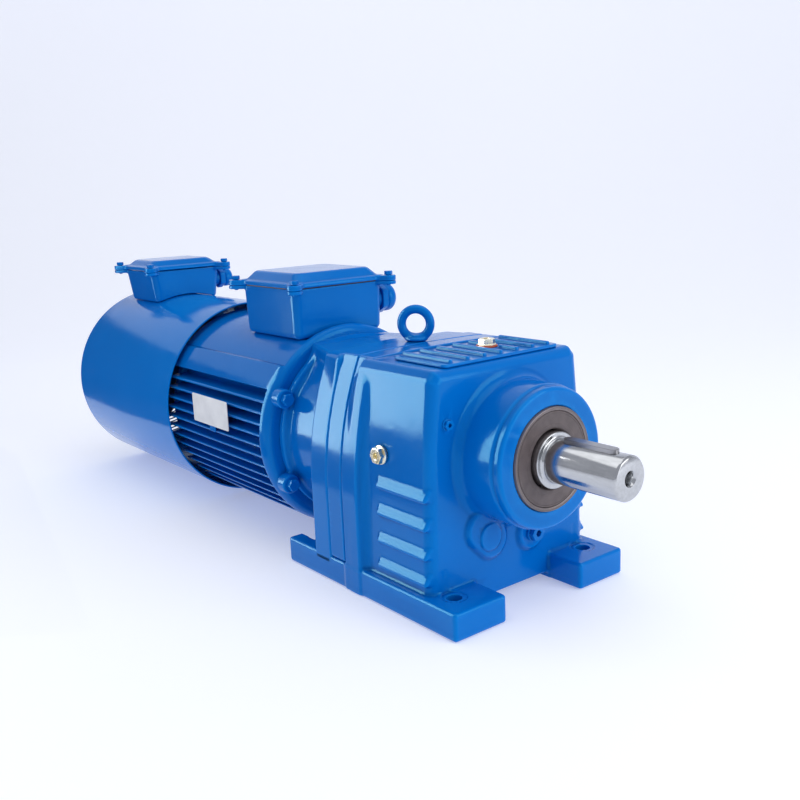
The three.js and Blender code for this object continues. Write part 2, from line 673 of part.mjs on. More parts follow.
function boxBase(spec) {
  const { x0, x1, half, topHalf, z0, z1, gland } = spec;
  const wall = 5;
  const outside = taperedBox(x0, x1, half, topHalf, z0, z1);
  const inside = taperedBox(x0 + wall, x1 - wall, half - wall, topHalf - wall, z0 + wall, z1 + 1);
  const ears = earPoints(spec).map(([x, y]) => post(EAR, x, y, z1 - 6, z1, 12));
  const screwHoles = earPoints(spec).map(([x, y]) => post(EAR_HOLE, x, y, z1 - 12, z1 + 1, 8));
  return cut(
    join(outside, ...ears),
    inside,
    ...screwHoles,
    post(12, (x0 + x1) / 2, 0, z0 - 1, z0 + wall + 30, 16),
    bar(gland.radius - 5, gland.x, gland.z, 30, topHalf + 8, 16),
  );
}

function boxLid(spec) {
  const { x0, x1, topHalf, z1, lid } = spec;
  const rimTop = z1 + 8;
  const [cx, half] = [(x0 + x1) / 2, (x1 - x0) / 2];
  const rim = box(x0 - 3, x1 + 3, -topHalf - 3, topHalf + 3, z1 + 2 + GAP, rimTop);
  const slope = 12;
  const sloped = (reach) =>
    outline([[-reach, rimTop - 1], [reach, rimTop - 1], [reach - slope, lid], [slope - reach, lid]]);
  const across = prismX(sloped(topHalf - 2), x0 - 1, x1 + 1);
  const along = prismX(sloped(half), -topHalf, topHalf).rotate([0, 0, 90]).translate([cx, 0, 0]);
  const crown = across.intersect(along);
  const low = z1 + 2 + GAP;
  const tabs = earPoints(spec).map(([x, y]) => post(EAR, x, y, low, rimTop, 12));
  const holes = earPoints(spec).map(([x, y]) => post(EAR_HOLE, x, y, low - 1, rimTop + 1, 8));
  return cut(join(rim, crown, ...tabs), ...holes);
}

function boxGasket(spec) {
  const { x0, x1, topHalf, z1 } = spec;
  const frame = box(x0, x1, -topHalf, topHalf, z1 + GAP, z1 + 2);
  return cut(frame, box(x0 + 5, x1 - 5, 5 - topHalf, topHalf - 5, z1, z1 + 3));
}

// Cable gland on the +Y wall of a box: its thread passes through the wall.
function cableGland(spec) {
  const { x, z, radius } = spec.gland;
  const wall = spec.topHalf + 1;
  const nut = bar(radius, x, z, wall + GAP, wall + 14, 6);
  const cap = bar(radius - 3, x, z, wall + 13, wall + 30, 16);
  const thread = bar(radius - 6, x, z, wall - 14, wall + 1, 16);
  const bore = bar(radius - 11, x, z, wall - 15, wall + 31, 12);
  return cut(join(nut, cap, thread), bore);
}

function lidScrew(spec, [x, y]) {
  const seat = spec.z1 + 8;
  return join(post(6, x, y, seat + GAP, seat + 6, 6), post(3, x, y, seat - 16, seat + 1, 8));
}

// ---------------------------------------------------------------- build: gear unit
piece("gearcase", gearcase(), BLUE);
piece("gearcase_top_cover", topCover(), BLUE);
piece("adapter_plate", adapterPlate(), BLUE);
piece("eyebolt", eyebolt(), BLUE);

const breatherSeat = BODY_Z.top + GAP + COVER_PLATE + BREATHER.pad;
const levelSeat = BODY.crease + 1.4;
piece("breather_plug",
  plug().rotate([0, -90, 0]).translate([BREATHER.x, BREATHER.y, breatherSeat]), BRASS);
piece("level_plug",
  plug().rotate([0, 0, -90]).translate([LEVEL_PLUG.x, -levelSeat, LEVEL_PLUG.z]), BRASS);
piece("drain_plug",
  plug().translate([BODY.front + DRAIN_PLUG.proud, DRAIN_PLUG.y, DRAIN_PLUG.z]), BLUE);
const smallPlug = plug().scale([FRONT_PLUG_SCALE, FRONT_PLUG_SCALE, FRONT_PLUG_SCALE]);
piece("front_plug", smallPlug.translate([BODY.front, FRONT_PLUG.y, FRONT_PLUG.z]), BLUE);

piece("output_seal_case",
  ring(BOSS.bore - GAP, SEAL.split, SEAL.rear, SEAL.front, 0, OUTPUT_Z, 36), STEEL);
piece("output_seal_lip",
  ring(SEAL.split - GAP, SHAFT.seal + GAP, SEAL.rear, SEAL.front - 1, 0, OUTPUT_Z, 36), RUBBER);

function outputShaft() {
  const { end, step, radius, seal, wheelSeat, collar } = SHAFT;
  const chamfer = 2.5;
  const { output_rear: rearBearing, output_front: frontBearing } = BEARINGS;
  const [rear, journal] = [rearBearing.x - 0.7, rearBearing.inner - GAP];
  const wheelStart = rearBearing.x + rearBearing.width + 1;
  const wheelEnd = STAGE2.front + 4;
  const collarEnd = frontBearing.x - 1;
  const body = turned(
    [
      [rear, 0], [rear, journal], [wheelStart, journal], [wheelStart, wheelSeat],
      [wheelEnd, wheelSeat], [wheelEnd, collar], [collarEnd, collar], [collarEnd, seal],
      [step - 1, seal], [step, seal - 1], [step, radius],
      [end - chamfer, radius], [end, radius - chamfer], [end, 0],
    ],
    0, OUTPUT_Z, 32,
  );
  const { radius: hole, depth, mouth } = CENTRE_HOLE;
  const centreHole = turned(
    [[end + 1, 0], [end + 1, mouth], [end - 5, hole], [end - depth, hole], [end - depth, 0]],
    0, OUTPUT_Z, 14,
  );
  return cut(body, keyway(KEY, radius), keyway(WHEEL_KEY, wheelSeat), centreHole);
}

// The slot that a key sits in, on top of a seat of the given radius.
function keyway({ start, end, width, depth }, seat) {
  const floor = OUTPUT_Z + seat - depth;
  return box(start, end, -width / 2, width / 2, floor, floor + 2 * depth + 4);
}
piece("output_shaft", outputShaft(), STEEL);

// A round-ended key that fills its keyway but for a small clearance.
function roundedKey({ start, end, width, depth, height }, seat) {
  const round = width / 2 - GAP;
  const [rear, front] = [start + GAP + round, end - GAP - round];
  const shape = new THREE.Shape();
  shape.absarc(rear, 0, round, Math.PI / 2, (3 * Math.PI) / 2, false);
  shape.absarc(front, 0, round, -Math.PI / 2, Math.PI / 2, false);
  const floor = OUTPUT_Z + seat - depth + GAP;
  return prismZ(shape, floor, floor + height, 8);
}
piece("output_key", roundedKey(KEY, SHAFT.radius), STEEL);
piece("output_wheel_key", roundedKey(WHEEL_KEY, SHAFT.wheelSeat), DARK_STEEL);

const stage1 = meshedPair(STAGE1, MOTOR_AXIS, MID_AXIS);
const stage2 = meshedPair(STAGE2, MID_AXIS, OUTPUT_AXIS);

// The wheels are bored for their shafts and dished between hub and rim.
function outputWheel() {
  const { rear, front } = STAGE2;
  const bore = SHAFT.wheelSeat + GAP;
  const [dish, hub, rim] = [10, 44, 66];
  return cut(
    stage2.wheel,
    rod(bore, rear - 1, front + 1, ...OUTPUT_AXIS, 36),
    keyway({ ...WHEEL_KEY, start: rear - 4, end: front + 4, depth: 10 }, SHAFT.wheelSeat),
    ring(rim, hub, front - dish, front + 1, ...OUTPUT_AXIS, 36),
    ring(rim, hub, rear - 1, rear + dish, ...OUTPUT_AXIS, 36),
  );
}

function intermediateWheel() {
  const { rear, front } = STAGE1;
  const [dish, hub, rim] = [6, 30, 54];
  return cut(
    stage1.wheel,
    rod(MID_SHAFT.wheelSeat + GAP, rear - 1, front + 1, ...MID_AXIS, 20),
    ring(rim, hub, front - dish, front + 1, ...MID_AXIS, 20),
  );
}

function intermediateShaft() {
  const { rear, seat, wheelSeat, body, frontSeat, front } = MID_SHAFT;
  const [wheelRear, wheelFront] = [STAGE1.rear - 4, STAGE1.front + 3];
  const behind = turned(
    [
      [rear, 0], [rear, seat], [wheelRear, seat], [wheelRear, wheelSeat], [wheelFront, wheelSeat],
      [wheelFront, body], [STAGE2.rear + 1, body], [STAGE2.rear + 1, 0],
    ],
    ...MID_AXIS, 20,
  );
  const ahead = turned(
    [
      [STAGE2.front - 1, 0], [STAGE2.front - 1, body], [frontSeat, body], [frontSeat, seat],
      [front, seat], [front, 0],
    ],
    ...MID_AXIS, 20,
  );
  return join(stage2.pinion, behind, ahead);
}

function motorPinion() {
  const { rear, radius } = PINION_SHANK;
  return join(stage1.pinion, rod(radius, rear, STAGE1.rear + 1, ...MOTOR_AXIS, 20));
}

piece("output_wheel", outputWheel(), DARK_STEEL);
piece("intermediate_pinion_shaft", intermediateShaft(), DARK_STEEL);
piece("intermediate_wheel", intermediateWheel(), DARK_STEEL);
piece("motor_pinion", motorPinion(), DARK_STEEL);
for (const [name, spec] of Object.entries(BEARINGS)) bearing(name, spec);
piece("motor_shaft_seal",
  ring(36, ROTOR.bearing + 2 * GAP, ADAPTER.rear + 4.7, ADAPTER.rear + 14.7, 0, MOTOR_Z, 20), RUBBER);

// ---------------------------------------------------------------- build: motor
piece("drive_end_shield", driveEndShield(), BLUE);
piece("motor_frame", motorFrame(), BLUE);
LUG.angles.forEach((angle, i) => piece("shield_bolt_" + (i + 1), shieldBolt(angle), STEEL));
piece("nameplate", nameplate(), PLATE);
piece("fan_end_shield", fanEndShield(), BLUE);
piece("stator_core",
  ring(CORE.stator, CORE.air, CORE.rear, CORE.front, ...MOTOR_AXIS, 28), CORE_STEEL);
const { outer: windingOuter, inner: windingInner, length: windingLength } = WINDING;
const endWinding = (x) => ring(windingOuter, windingInner, x, x + windingLength, ...MOTOR_AXIS, 20);
piece("drive_end_winding", endWinding(CORE.front + GAP), COPPER);
piece("fan_end_winding", endWinding(CORE.rear - GAP - windingLength), COPPER);
piece("rotor_core",
  ring(CORE.rotor, ROTOR.seat + GAP, CORE.rear, CORE.front, ...MOTOR_AXIS, 28), CORE_STEEL);
piece("rotor_shaft", rotorShaft(), DARK_STEEL);
piece("fan_cover", fanCover(), BLUE);
piece("fan_guard", fanGuard(), BLUE);
piece("fan_motor",
  rod(FAN_MOTOR.radius, FAN_MOTOR.rear, FAN_MOTOR.front, ...MOTOR_AXIS, 20), BLACK);
piece("fan_bracket", fanBracket(), DARK_STEEL);
piece("fan_impeller", fanImpeller(), BLACK);

// ---------------------------------------------------------------- build: terminal boxes
piece("terminal_box", boxBase(BOX), BLUE);
piece("terminal_box_gasket", boxGasket(BOX), BLACK);
piece("terminal_box_lid", boxLid(BOX), BLUE);
piece("terminal_block",
  box(BOX.x0 + 38, BOX.x1 - 38, -22, 22, BOX.z0 + 6, BOX.z0 + 24), BLACK);
piece("terminal_box_gland", cableGland(BOX), BLUE);
earPoints(BOX).forEach((point, i) => piece("lid_screw_" + (i + 1), lidScrew(BOX, point), STEEL));
piece("fan_terminal_box",
  cut(boxBase(FAN_BOX), rod(COVER.radius + 1, COVER.rear, COVER.front, 0, MOTOR_Z, 40)), BLUE);
piece("fan_terminal_box_lid", boxLid(FAN_BOX), BLUE);
piece("fan_terminal_box_gland", cableGland(FAN_BOX), BLUE);

export default gearmotor;
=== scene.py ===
"""Looks of the helical gearmotor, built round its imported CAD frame.

Lengths inside the shape functions are millimetres in the row frame; meshes are made in metres.
Cast pieces are the zero surfaces of distance fields, so that their edges and fillets are round.
"""
import math

import bmesh
import bpy
import numpy as np
from mathutils import Matrix, Vector


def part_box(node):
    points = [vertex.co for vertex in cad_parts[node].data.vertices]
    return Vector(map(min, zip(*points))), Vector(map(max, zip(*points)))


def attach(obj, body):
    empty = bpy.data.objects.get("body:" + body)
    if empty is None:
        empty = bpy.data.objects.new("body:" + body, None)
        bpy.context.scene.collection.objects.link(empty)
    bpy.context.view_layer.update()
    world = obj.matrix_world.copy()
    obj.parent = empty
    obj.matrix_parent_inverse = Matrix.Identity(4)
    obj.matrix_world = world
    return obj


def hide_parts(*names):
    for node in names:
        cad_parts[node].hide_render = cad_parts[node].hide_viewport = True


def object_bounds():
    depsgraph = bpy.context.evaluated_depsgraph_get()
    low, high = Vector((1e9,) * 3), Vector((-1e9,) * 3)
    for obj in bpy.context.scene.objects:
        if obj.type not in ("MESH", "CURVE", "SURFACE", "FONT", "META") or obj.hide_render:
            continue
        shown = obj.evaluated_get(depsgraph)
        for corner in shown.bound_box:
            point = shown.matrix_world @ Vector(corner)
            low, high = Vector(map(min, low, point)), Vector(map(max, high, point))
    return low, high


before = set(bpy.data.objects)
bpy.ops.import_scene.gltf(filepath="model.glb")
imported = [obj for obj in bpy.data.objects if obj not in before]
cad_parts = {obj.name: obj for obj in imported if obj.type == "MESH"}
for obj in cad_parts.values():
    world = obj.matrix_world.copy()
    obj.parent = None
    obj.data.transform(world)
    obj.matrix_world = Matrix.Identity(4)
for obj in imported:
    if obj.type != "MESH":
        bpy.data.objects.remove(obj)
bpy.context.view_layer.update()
COARSE = 1.0
MM = 0.001


def span(node):
    """Lowest and highest corner of a CAD node, in millimetres."""
    lo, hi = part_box(node)
    return np.array(lo) / MM, np.array(hi) / MM


# ------------------------------------------------------------------ sizes taken from the frame
CASE_LO, CASE_HI = span("gearcase")
ADAPTER_LO, ADAPTER_HI = span("adapter_plate")
SHIELD_LO, SHIELD_HI = span("drive_end_shield")
FRAME_LO, FRAME_HI = span("motor_frame")
COVER_LO, COVER_HI = span("fan_cover")
SHAFT_LO, SHAFT_HI = span("output_shaft")
WHEEL_LO, WHEEL_HI = span("output_wheel")
KEY_LO, KEY_HI = span("output_key")
MID_LO, MID_HI = span("intermediate_wheel")

OUTPUT_Z = (WHEEL_LO[2] + WHEEL_HI[2]) / 2
MOTOR_Z = (COVER_LO[2] + COVER_HI[2]) / 2
MID_Y = (MID_LO[1] + MID_HI[1]) / 2
MID_Z = (MID_LO[2] + MID_HI[2]) / 2
GAP = 0.3

# Gearcase casting
BODY_FRONT = CASE_HI[0] - 64
BODY_SIDE = [(130, 0), (125, 198), (117, 277), (108, 287)]  # (half width, height), foot to top
WALL = 10
FLANGE_HALF = CASE_HI[1]
FLANGE_FRONT = -6.0
FLANGE_REAR = ADAPTER_HI[0] + GAP
FLANGE_TOP = 289
RAIL = {"inner": FLANGE_HALF - 78, "height": 33, "front": 166, "corner": 4.5}
FOOT_HOLES = {"x": (129, -140), "y": 108, "radius": 9, "seat": 15}
BOSS_RADIUS = 84
SEAL_BORE = 60.3
RIBS = (50, 81, 115, 148)
LEVEL_PLUG = (31, 183)
DRAIN_PLUG = (30, 71)
FRONT_PLUG = (-98, 227)
CAPSULE = ((-51, 94), (-35, 78))

# ------------------------------------------------------------------ fields
# A field is negative inside the solid, and close to the distance from its surface.


def length(*parts):
    return np.sqrt(sum(part * part for part in parts))


def meet(a, b, r):
    """Where both are solid, with an outer edge rounded to radius r."""
    return np.minimum(-r, np.maximum(a, b)) + length(np.maximum(a + r, 0), np.maximum(b + r, 0))


def join(a, b, r):
    """Either one, with a fillet of radius r where they meet."""
    return -meet(-a, -b, r)


def cut(a, b, r=1.0):
    """The first without the second."""
    return meet(a, -b, r)


def between(a, lo, hi):
    return np.abs(a - (lo + hi) / 2) - (hi - lo) / 2


def rounded(a, b, half_a, half_b, r):
    """A flat rectangle centred on zero, with corners of radius r."""
    u, v = np.abs(a) - half_a + r, np.abs(b) - half_b + r
    return length(np.maximum(u, 0), np.maximum(v, 0)) + np.minimum(np.maximum(u, v), 0) - r


def bar(along, a, b, lo, hi, radius, r=1.0):
    """A round bar: its axis runs along the first coordinate, and a and b are measured from it."""
    return meet(length(a, b) - radius, between(along, lo, hi), r)


def brick(x, y, z, lo, hi, r=1.0):
    sides = [between(p, low, high) + r for p, low, high in zip((x, y, z), lo, hi)]
    deepest = np.minimum(np.maximum(np.maximum(sides[0], sides[1]), sides[2]), 0)
    return length(*(np.maximum(s, 0) for s in sides)) + deepest - r


def hexagon(a, b, across):
    """A hexagon with flats `across` apart, two of them facing +b and -b."""
    return np.maximum(np.abs(b), np.abs(a) * math.sqrt(0.75) + np.abs(b) * 0.5) - across / 2


def edge_line(u, v, start, end):
    """Distance to the right-hand side of the line from start to end."""
    du, dv = end[0] - start[0], end[1] - start[1]
    size = math.hypot(du, dv)
    return ((u - start[0]) * dv - (v - start[1]) * du) / size


def segment(u, v, start, end):
    """Distance to a line segment."""
    du, dv = end[0] - start[0], end[1] - start[1]
    t = np.clip(((u - start[0]) * du + (v - start[1]) * dv) / (du * du + dv * dv), 0, 1)
    return length(u - start[0] - t * du, v - start[1] - t * dv)


# ------------------------------------------------------------------ fields to meshes
BLOCK = 8  # nodes along one side of a block; only blocks near the surface are filled in


def sample(field, low, step, count):
    """Field values at the nodes of a grid: exact near the surface, coarse elsewhere."""
    blocks = np.argwhere(np.ones(-(-count // BLOCK)))
    centres = low + step * (blocks * BLOCK + (BLOCK - 1) / 2)
    coarse = field(*centres.T)
    reach = step * BLOCK * math.sqrt(3) / 2
    values = coarse.reshape(-(-count // BLOCK)).astype(np.float32)
    for axis in range(3):
        values = np.repeat(values, BLOCK, axis)
    values = values[tuple(slice(0, n) for n in count)]
    near = blocks[np.abs(coarse) < 1.3 * reach + 2 * step]
    offsets = np.argwhere(np.ones((BLOCK,) * 3))
    for part in np.array_split(near, max(1, len(near) // 800)):
        nodes = (part[:, None, :] * BLOCK + offsets).reshape(-1, 3)
        nodes = nodes[(nodes < count).all(1)]
        values[tuple(nodes.T)] = field(*(low + step * nodes).T)
    shell = np.ones(count, bool)
    shell[1:-1, 1:-1, 1:-1] = False
    values[shell] = np.maximum(values[shell], step)  # the surface always closes inside the grid
    return values


def surface_net(values, low, step):
    """Points and quads of the zero surface: one point in each grid cell that it crosses."""
    inside = values < 0
    cells = np.array(values.shape) - 1
    corners = [np.array((i, j, k)) for i in (0, 1) for j in (0, 1) for k in (0, 1)]
    full = sum(
        inside[tuple(slice(c, c + n) for c, n in zip(corner, cells))].astype(np.int8)
        for corner in corners
    )
    active = (full > 0) & (full < 8)
    where = np.argwhere(active)
    index = np.full(cells, -1, np.int32)
    index[active] = np.arange(len(where))

    total, hits = np.zeros((len(where), 3)), np.zeros(len(where))
    for corner in corners:
        for axis in range(3):
            if corner[axis]:
                continue
            other = corner.copy()
            other[axis] = 1
            a = values[tuple((where + corner).T)].astype(float)
            b = values[tuple((where + other).T)].astype(float)
            crossed = (a < 0) != (b < 0)
            share = np.where(crossed, a / np.where(crossed, a - b, 1), 0)
            total += (corner + share[:, None] * (other - corner)) * crossed[:, None]
            hits += crossed
    points = low + step * (where + total / hits[:, None])

    quads = []
    for axis in range(3):
        u, v = (axis + 1) % 3, (axis + 2) % 3
        behind = np.moveaxis(inside, axis, 0)[:-1]
        ahead = np.moveaxis(inside, axis, 0)[1:]
        for leaving, hit in ((True, behind & ~ahead), (False, ~behind & ahead)):
            at = np.argwhere(np.moveaxis(hit, 0, axis))
            ring = []
            for du, dv in ((0, 0), (1, 0), (1, 1), (0, 1)):
                cell = at.copy()
                cell[:, u] -= du
                cell[:, v] -= dv
                ring.append(index[tuple(cell.T)])
            quad = np.stack(ring, 1)
            quads.append(quad if leaving else quad[:, ::-1])
    return points, np.concatenate(quads)


def slope(field, points, reach):
    """The field's gradient at the points."""
    found = np.empty_like(points)
    for axis in range(3):
        shift = np.zeros(3)
        shift[axis] = reach
        found[:, axis] = field(*(points + shift).T) - field(*(points - shift).T)
    return found / (2 * reach)


def settle(field, points, step):
    """Moves the points onto the zero surface."""
    for _ in range(3):
        rise = slope(field, points, 0.05)
        size = np.maximum((rise * rise).sum(1), 0.25)
        move = rise * (field(*points.T) / size)[:, None]
        points = points - np.clip(move, -step / 2, step / 2)
    return points


def thinned(mesh, ratio):
    """A copy of the mesh with fewer triangles on its flat parts."""
    holder = bpy.data.objects.new("thinning", mesh)
    bpy.context.scene.collection.objects.link(holder)
    modifier = holder.modifiers.new("thin", "DECIMATE")
    modifier.ratio = ratio
    depsgraph = bpy.context.evaluated_depsgraph_get()
    made = bpy.data.meshes.new_from_object(holder.evaluated_get(depsgraph), depsgraph=depsgraph)
    bpy.data.objects.remove(holder)
    bpy.data.meshes.remove(mesh)
    return made


def cast_mesh(name, field, lo, hi, step, keep=0.35):
    """Mesh of a field's zero surface between two corners, with normals from the field."""
    step = step * COARSE
    low = np.array(lo, float) - 2.2 * step
    count = np.ceil((np.array(hi, float) + 2.2 * step - low) / step).astype(int) + 1
    points, quads = surface_net(sample(field, low, step, count), low, step)
    mesh = bpy.data.meshes.new(name)
    mesh.from_pydata(settle(field, points, step).tolist(), [], quads.tolist())
    if keep < 1:
        mesh = thinned(mesh, keep)
    mesh.name = name
    count = len(mesh.vertices)
    flat = np.empty(count * 3)
    mesh.vertices.foreach_get("co", flat)
    points = settle(field, flat.reshape(-1, 3), step)
    normals = slope(field, points, 0.2 * step)
    normals /= np.maximum(length(*normals.T), 1e-6)[:, None]
    mesh.vertices.foreach_set("co", (points * MM).ravel())
    mesh.update()
    mesh.polygons.foreach_set("use_smooth", np.ones(len(mesh.polygons), bool))
    mesh.normals_split_custom_set_from_vertices(normals.tolist())
    return mesh


def turned_mesh(name, profile, y, z, segments=144, closed=False, smooth=True):
    """A solid of revolution about an axis along X; the profile is (x, radius) in millimetres."""
    mesh = bpy.data.meshes.new(name)
    points, faces = [], []
    for i in range(segments):
        a = 2 * math.pi * i / segments
        points += [(x * MM, (y + r * math.cos(a)) * MM, (z + r * math.sin(a)) * MM)
                   for x, r in profile]
    n = len(profile)
    for i in range(segments):
        j = (i + 1) % segments
        for k in range(n if closed else n - 1):
            m = (k + 1) % n
            faces.append((i * n + k, i * n + m, j * n + m, j * n + k))
    mesh.from_pydata(points, [], faces)
    work = bmesh.new()
    work.from_mesh(mesh)
    bmesh.ops.remove_doubles(work, verts=work.verts, dist=1e-6)
    bmesh.ops.recalc_face_normals(work, faces=work.faces)
    work.to_mesh(mesh)
    work.free()
    if smooth:
        mesh.polygons.foreach_set("use_smooth", np.ones(len(mesh.polygons), bool))
        mesh.set_sharp_from_angle(angle=math.radians(32))
    return mesh


def arc(x, r, radius, start, end, steps=6):
    """Points of a circular arc in a profile: centre (x, r), angles in degrees from +X towards +r."""
    return [(x + radius * math.cos(math.radians(start + (end - start) * i / steps)),
             r + radius * math.sin(math.radians(start + (end - start) * i / steps)))
            for i in range(steps + 1)]


def piece(name, mesh, body, material, slot, *nodes):
    """Puts a mesh in the scene, riding on a body and standing for CAD nodes."""
    made = bpy.data.objects.new(name, mesh)
    bpy.context.scene.collection.objects.link(made)
    mesh.materials.clear()
    mesh.materials.append(material)
    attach(made, body)
    if nodes:
        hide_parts(*nodes)
    return made


# ------------------------------------------------------------------ materials
class Nodes:
    """A node tree that is written as function calls."""

    def __init__(self, name):
        self.material = bpy.data.materials.new(name)
        self.material.use_nodes = True
        self.tree = self.material.node_tree
        self.shader = self.tree.nodes["Principled BSDF"]
        self.place = self.add("ShaderNodeTexCoord").outputs["Object"]

    def add(self, kind, **settings):
        node = self.tree.nodes.new(kind)
        for key, value in settings.items():
            if hasattr(node, key):
                setattr(node, key, value)
            else:
                self.feed(node.inputs[key.replace("_", " ").title()], value)
        return node

    def feed(self, socket, value):
        if isinstance(value, bpy.types.NodeSocket):
            self.tree.links.new(value, socket)
        else:
            socket.default_value = value

    def set(self, **values):
        for key, value in values.items():
            self.feed(self.shader.inputs[key.replace("_", " ").title()
                                         .replace("Ior", "IOR")], value)

    def stretched(self, scale, rotation=(0, 0, 0)):
        """Object coordinates scaled per axis."""
        node = self.add("ShaderNodeMapping")
        self.feed(node.inputs["Vector"], self.place)
        node.inputs["Scale"].default_value = scale
        node.inputs["Rotation"].default_value = rotation
        return node.outputs["Vector"]

    def noise(self, scale, detail=3.0, place=None, roughness=0.5):
        node = self.add("ShaderNodeTexNoise")
        self.feed(node.inputs["Vector"], self.place if place is None else place)
        node.inputs["Scale"].default_value = scale
        node.inputs["Detail"].default_value = detail
        node.inputs["Roughness"].default_value = roughness
        return node.outputs["Fac"]

    def ramp(self, value, *stops):
        """Maps a value through grey or colour stops, each (position, value)."""
        node = self.add("ShaderNodeValToRGB")
        self.feed(node.inputs["Fac"], value)
        elements = node.color_ramp.elements
        while len(elements) < len(stops):
            elements.new(0.5)
        for element, (position, shade) in zip(elements, stops):
            element.position = position
            element.color = (*shade, 1) if isinstance(shade, tuple) else (shade, shade, shade, 1)
        return node.outputs["Color"]

    def mix(self, factor, a, b, blend="MIX"):
        node = self.add("ShaderNodeMix", data_type="RGBA", blend_type=blend)
        colour = [s for s in node.inputs if s.type == "RGBA"]
        self.feed(node.inputs[0], factor)
        for socket, value in zip(colour, (a, b)):
            self.feed(socket, (*value, 1) if isinstance(value, tuple) and len(value) == 3 else value)
        return [s for s in node.outputs if s.type == "RGBA"][0]

    def maths(self, operation, a, b=0.0):
        node = self.add("ShaderNodeMath", operation=operation)
        self.feed(node.inputs[0], a)
        self.feed(node.inputs[1], b)
        return node.outputs[0]

    def edges(self, low=0.47, high=0.53):
        """0 in hollows, 0.5 on flat parts and 1 along outer edges."""
        point = self.add("ShaderNodeNewGeometry").outputs["Pointiness"]
        return self.ramp(point, (low, 0.0), (high, 1.0))

    def bump(self, height, strength, distance, base=None):
        node = self.add("ShaderNodeBump")
        self.feed(node.inputs["Height"], height)
        node.inputs["Strength"].default_value = strength
        node.inputs["Distance"].default_value = distance
        if base is not None:
            self.feed(node.inputs["Normal"], base)
        return node.outputs["Normal"]


def enamel(name="blue_enamel", cast=1.0):
    """Thick glossy blue enamel that sags softly over the casting, with a painted highlight of lighter blue
    along outer edges and painted shade in hollows.
    """
    n = Nodes(name)
    patches = n.noise(6.0, 4.0)
    blue = n.mix(n.ramp(patches, (0.35, 0.0), (0.65, 1.0)), (0.0, 0.140, 0.53), (0.0, 0.160, 0.58))
    edge = n.edges()
    # Painted highlight: a lighter blue along outer edges.
    blue = n.mix(n.ramp(edge, (0.55, 0.0), (1.0, 0.35)), blue, (0.004, 0.24, 0.74))
    # Painted shade: a darker blue in hollows and creases.
    blue = n.mix(n.ramp(edge, (0.0, 0.6), (0.42, 0.0)), blue, (0.0, 0.045, 0.26))
    dust = n.ramp(n.noise(55.0, 6.0, roughness=0.7), (0.62, 0.0), (0.80, 0.06))
    blue = n.mix(dust, blue, (0.05, 0.22, 0.52))
    rough = n.ramp(n.noise(22.0, 5.0), (0.3, 0.10), (0.7, 0.16))
    peel = n.bump(n.noise(330.0, 2.0), 0.06 * cast, 0.0006)
    sag = n.bump(n.noise(38.0, 2.5), 0.16 * cast, 0.0016, peel)
    n.set(base_color=blue, roughness=rough, normal=sag, specular_ior_level=0.32)
    n.shader.inputs["Specular Tint"].default_value = (0.16, 0.94, 1.0, 1)
    return n.material


def turned_steel(name="machined_steel", colour=(0.54, 0.55, 0.56), rough=(0.09, 0.20)):
    """Bright steel turned about an axis along X, with fine tool marks round it."""
    n = Nodes(name)
    marks = n.noise(1.0, 5.0, n.stretched((2600.0, 9.0, 9.0)))
    smears = n.noise(1.0, 4.0, n.stretched((60.0, 260.0, 260.0)))
    shade = n.mix(n.ramp(smears, (0.35, 0.0), (0.7, 1.0)), tuple(0.88 * c for c in colour), colour)
    n.set(base_color=shade, metallic=1.0, roughness=n.ramp(marks, (0.3, rough[0]), (0.7, rough[1])),
          normal=n.bump(marks, 0.16, 0.00012))
    return n.material


def ground_steel(name, colour, rough, scale=(900.0, 60.0, 900.0), metallic=1.0):
    """Plain steel with faint scratches, a little uneven tarnish and a painted highlight along outer edges.
    """
    n = Nodes(name)
    scratches = n.noise(1.0, 5.0, n.stretched(scale))
    tarnish = n.noise(28.0, 5.0)
    shade = n.mix(n.ramp(tarnish, (0.4, 0.0), (0.75, 1.0)), colour, tuple(0.62 * c for c in colour))
    # Painted highlight: lighter steel along outer edges.
    shade = n.mix(n.ramp(n.edges(), (0.6, 0.0), (1.0, 0.5)), shade, tuple(min(1, 1.5 * c) for c in colour))
    n.set(base_color=shade, metallic=metallic, normal=n.bump(scratches, 0.14, 0.0002),
          roughness=n.ramp(scratches, (0.3, rough - 0.07), (0.7, rough + 0.1)))
    return n.material


def rubber(name, colour, rough=0.55):
    """Moulded rubber: matt, slightly mottled, with a greasy sheen in places."""
    n = Nodes(name)
    mottle = n.noise(90.0, 5.0)
    shade = n.mix(n.ramp(mottle, (0.35, 0.0), (0.7, 1.0)), colour, tuple(0.7 * c for c in colour))
    film = n.ramp(n.noise(14.0, 3.0), (0.4, rough), (0.65, rough - 0.16))
    n.set(base_color=shade, roughness=film, normal=n.bump(n.noise(700.0, 2.0), 0.12, 0.0002))
    return n.material


def plated_brass(name="brass_plug"):
    """Yellow zinc plating: warm, bright and a little iridescent."""
    n = Nodes(name)
    tint = n.ramp(n.noise(120.0, 3.0), (0.30, (0.80, 0.68, 0.40)), (0.52, (0.90, 0.87, 0.74)),
                  (0.75, (0.82, 0.83, 0.62)))
    n.set(base_color=tint, metallic=1.0, roughness=n.ramp(n.noise(300.0), (0.3, 0.2), (0.7, 0.33)),
          normal=n.bump(n.noise(900.0, 2.0), 0.1, 0.0001))
    return n.material


def laminated_steel(name="core_steel"):
    """Stacked sheets seen edge on: fine rings along X."""
    n = Nodes(name)
    sheets = n.noise(1.0, 1.0, n.stretched((2000.0, 0.6, 0.6)))
    n.set(base_color=n.mix(n.ramp(sheets, (0.35, 0.0), (0.65, 1.0)), (0.05, 0.05, 0.055),
                           (0.16, 0.16, 0.17)),
          metallic=0.8, roughness=0.5, normal=n.bump(sheets, 0.5, 0.0004))
    return n.material


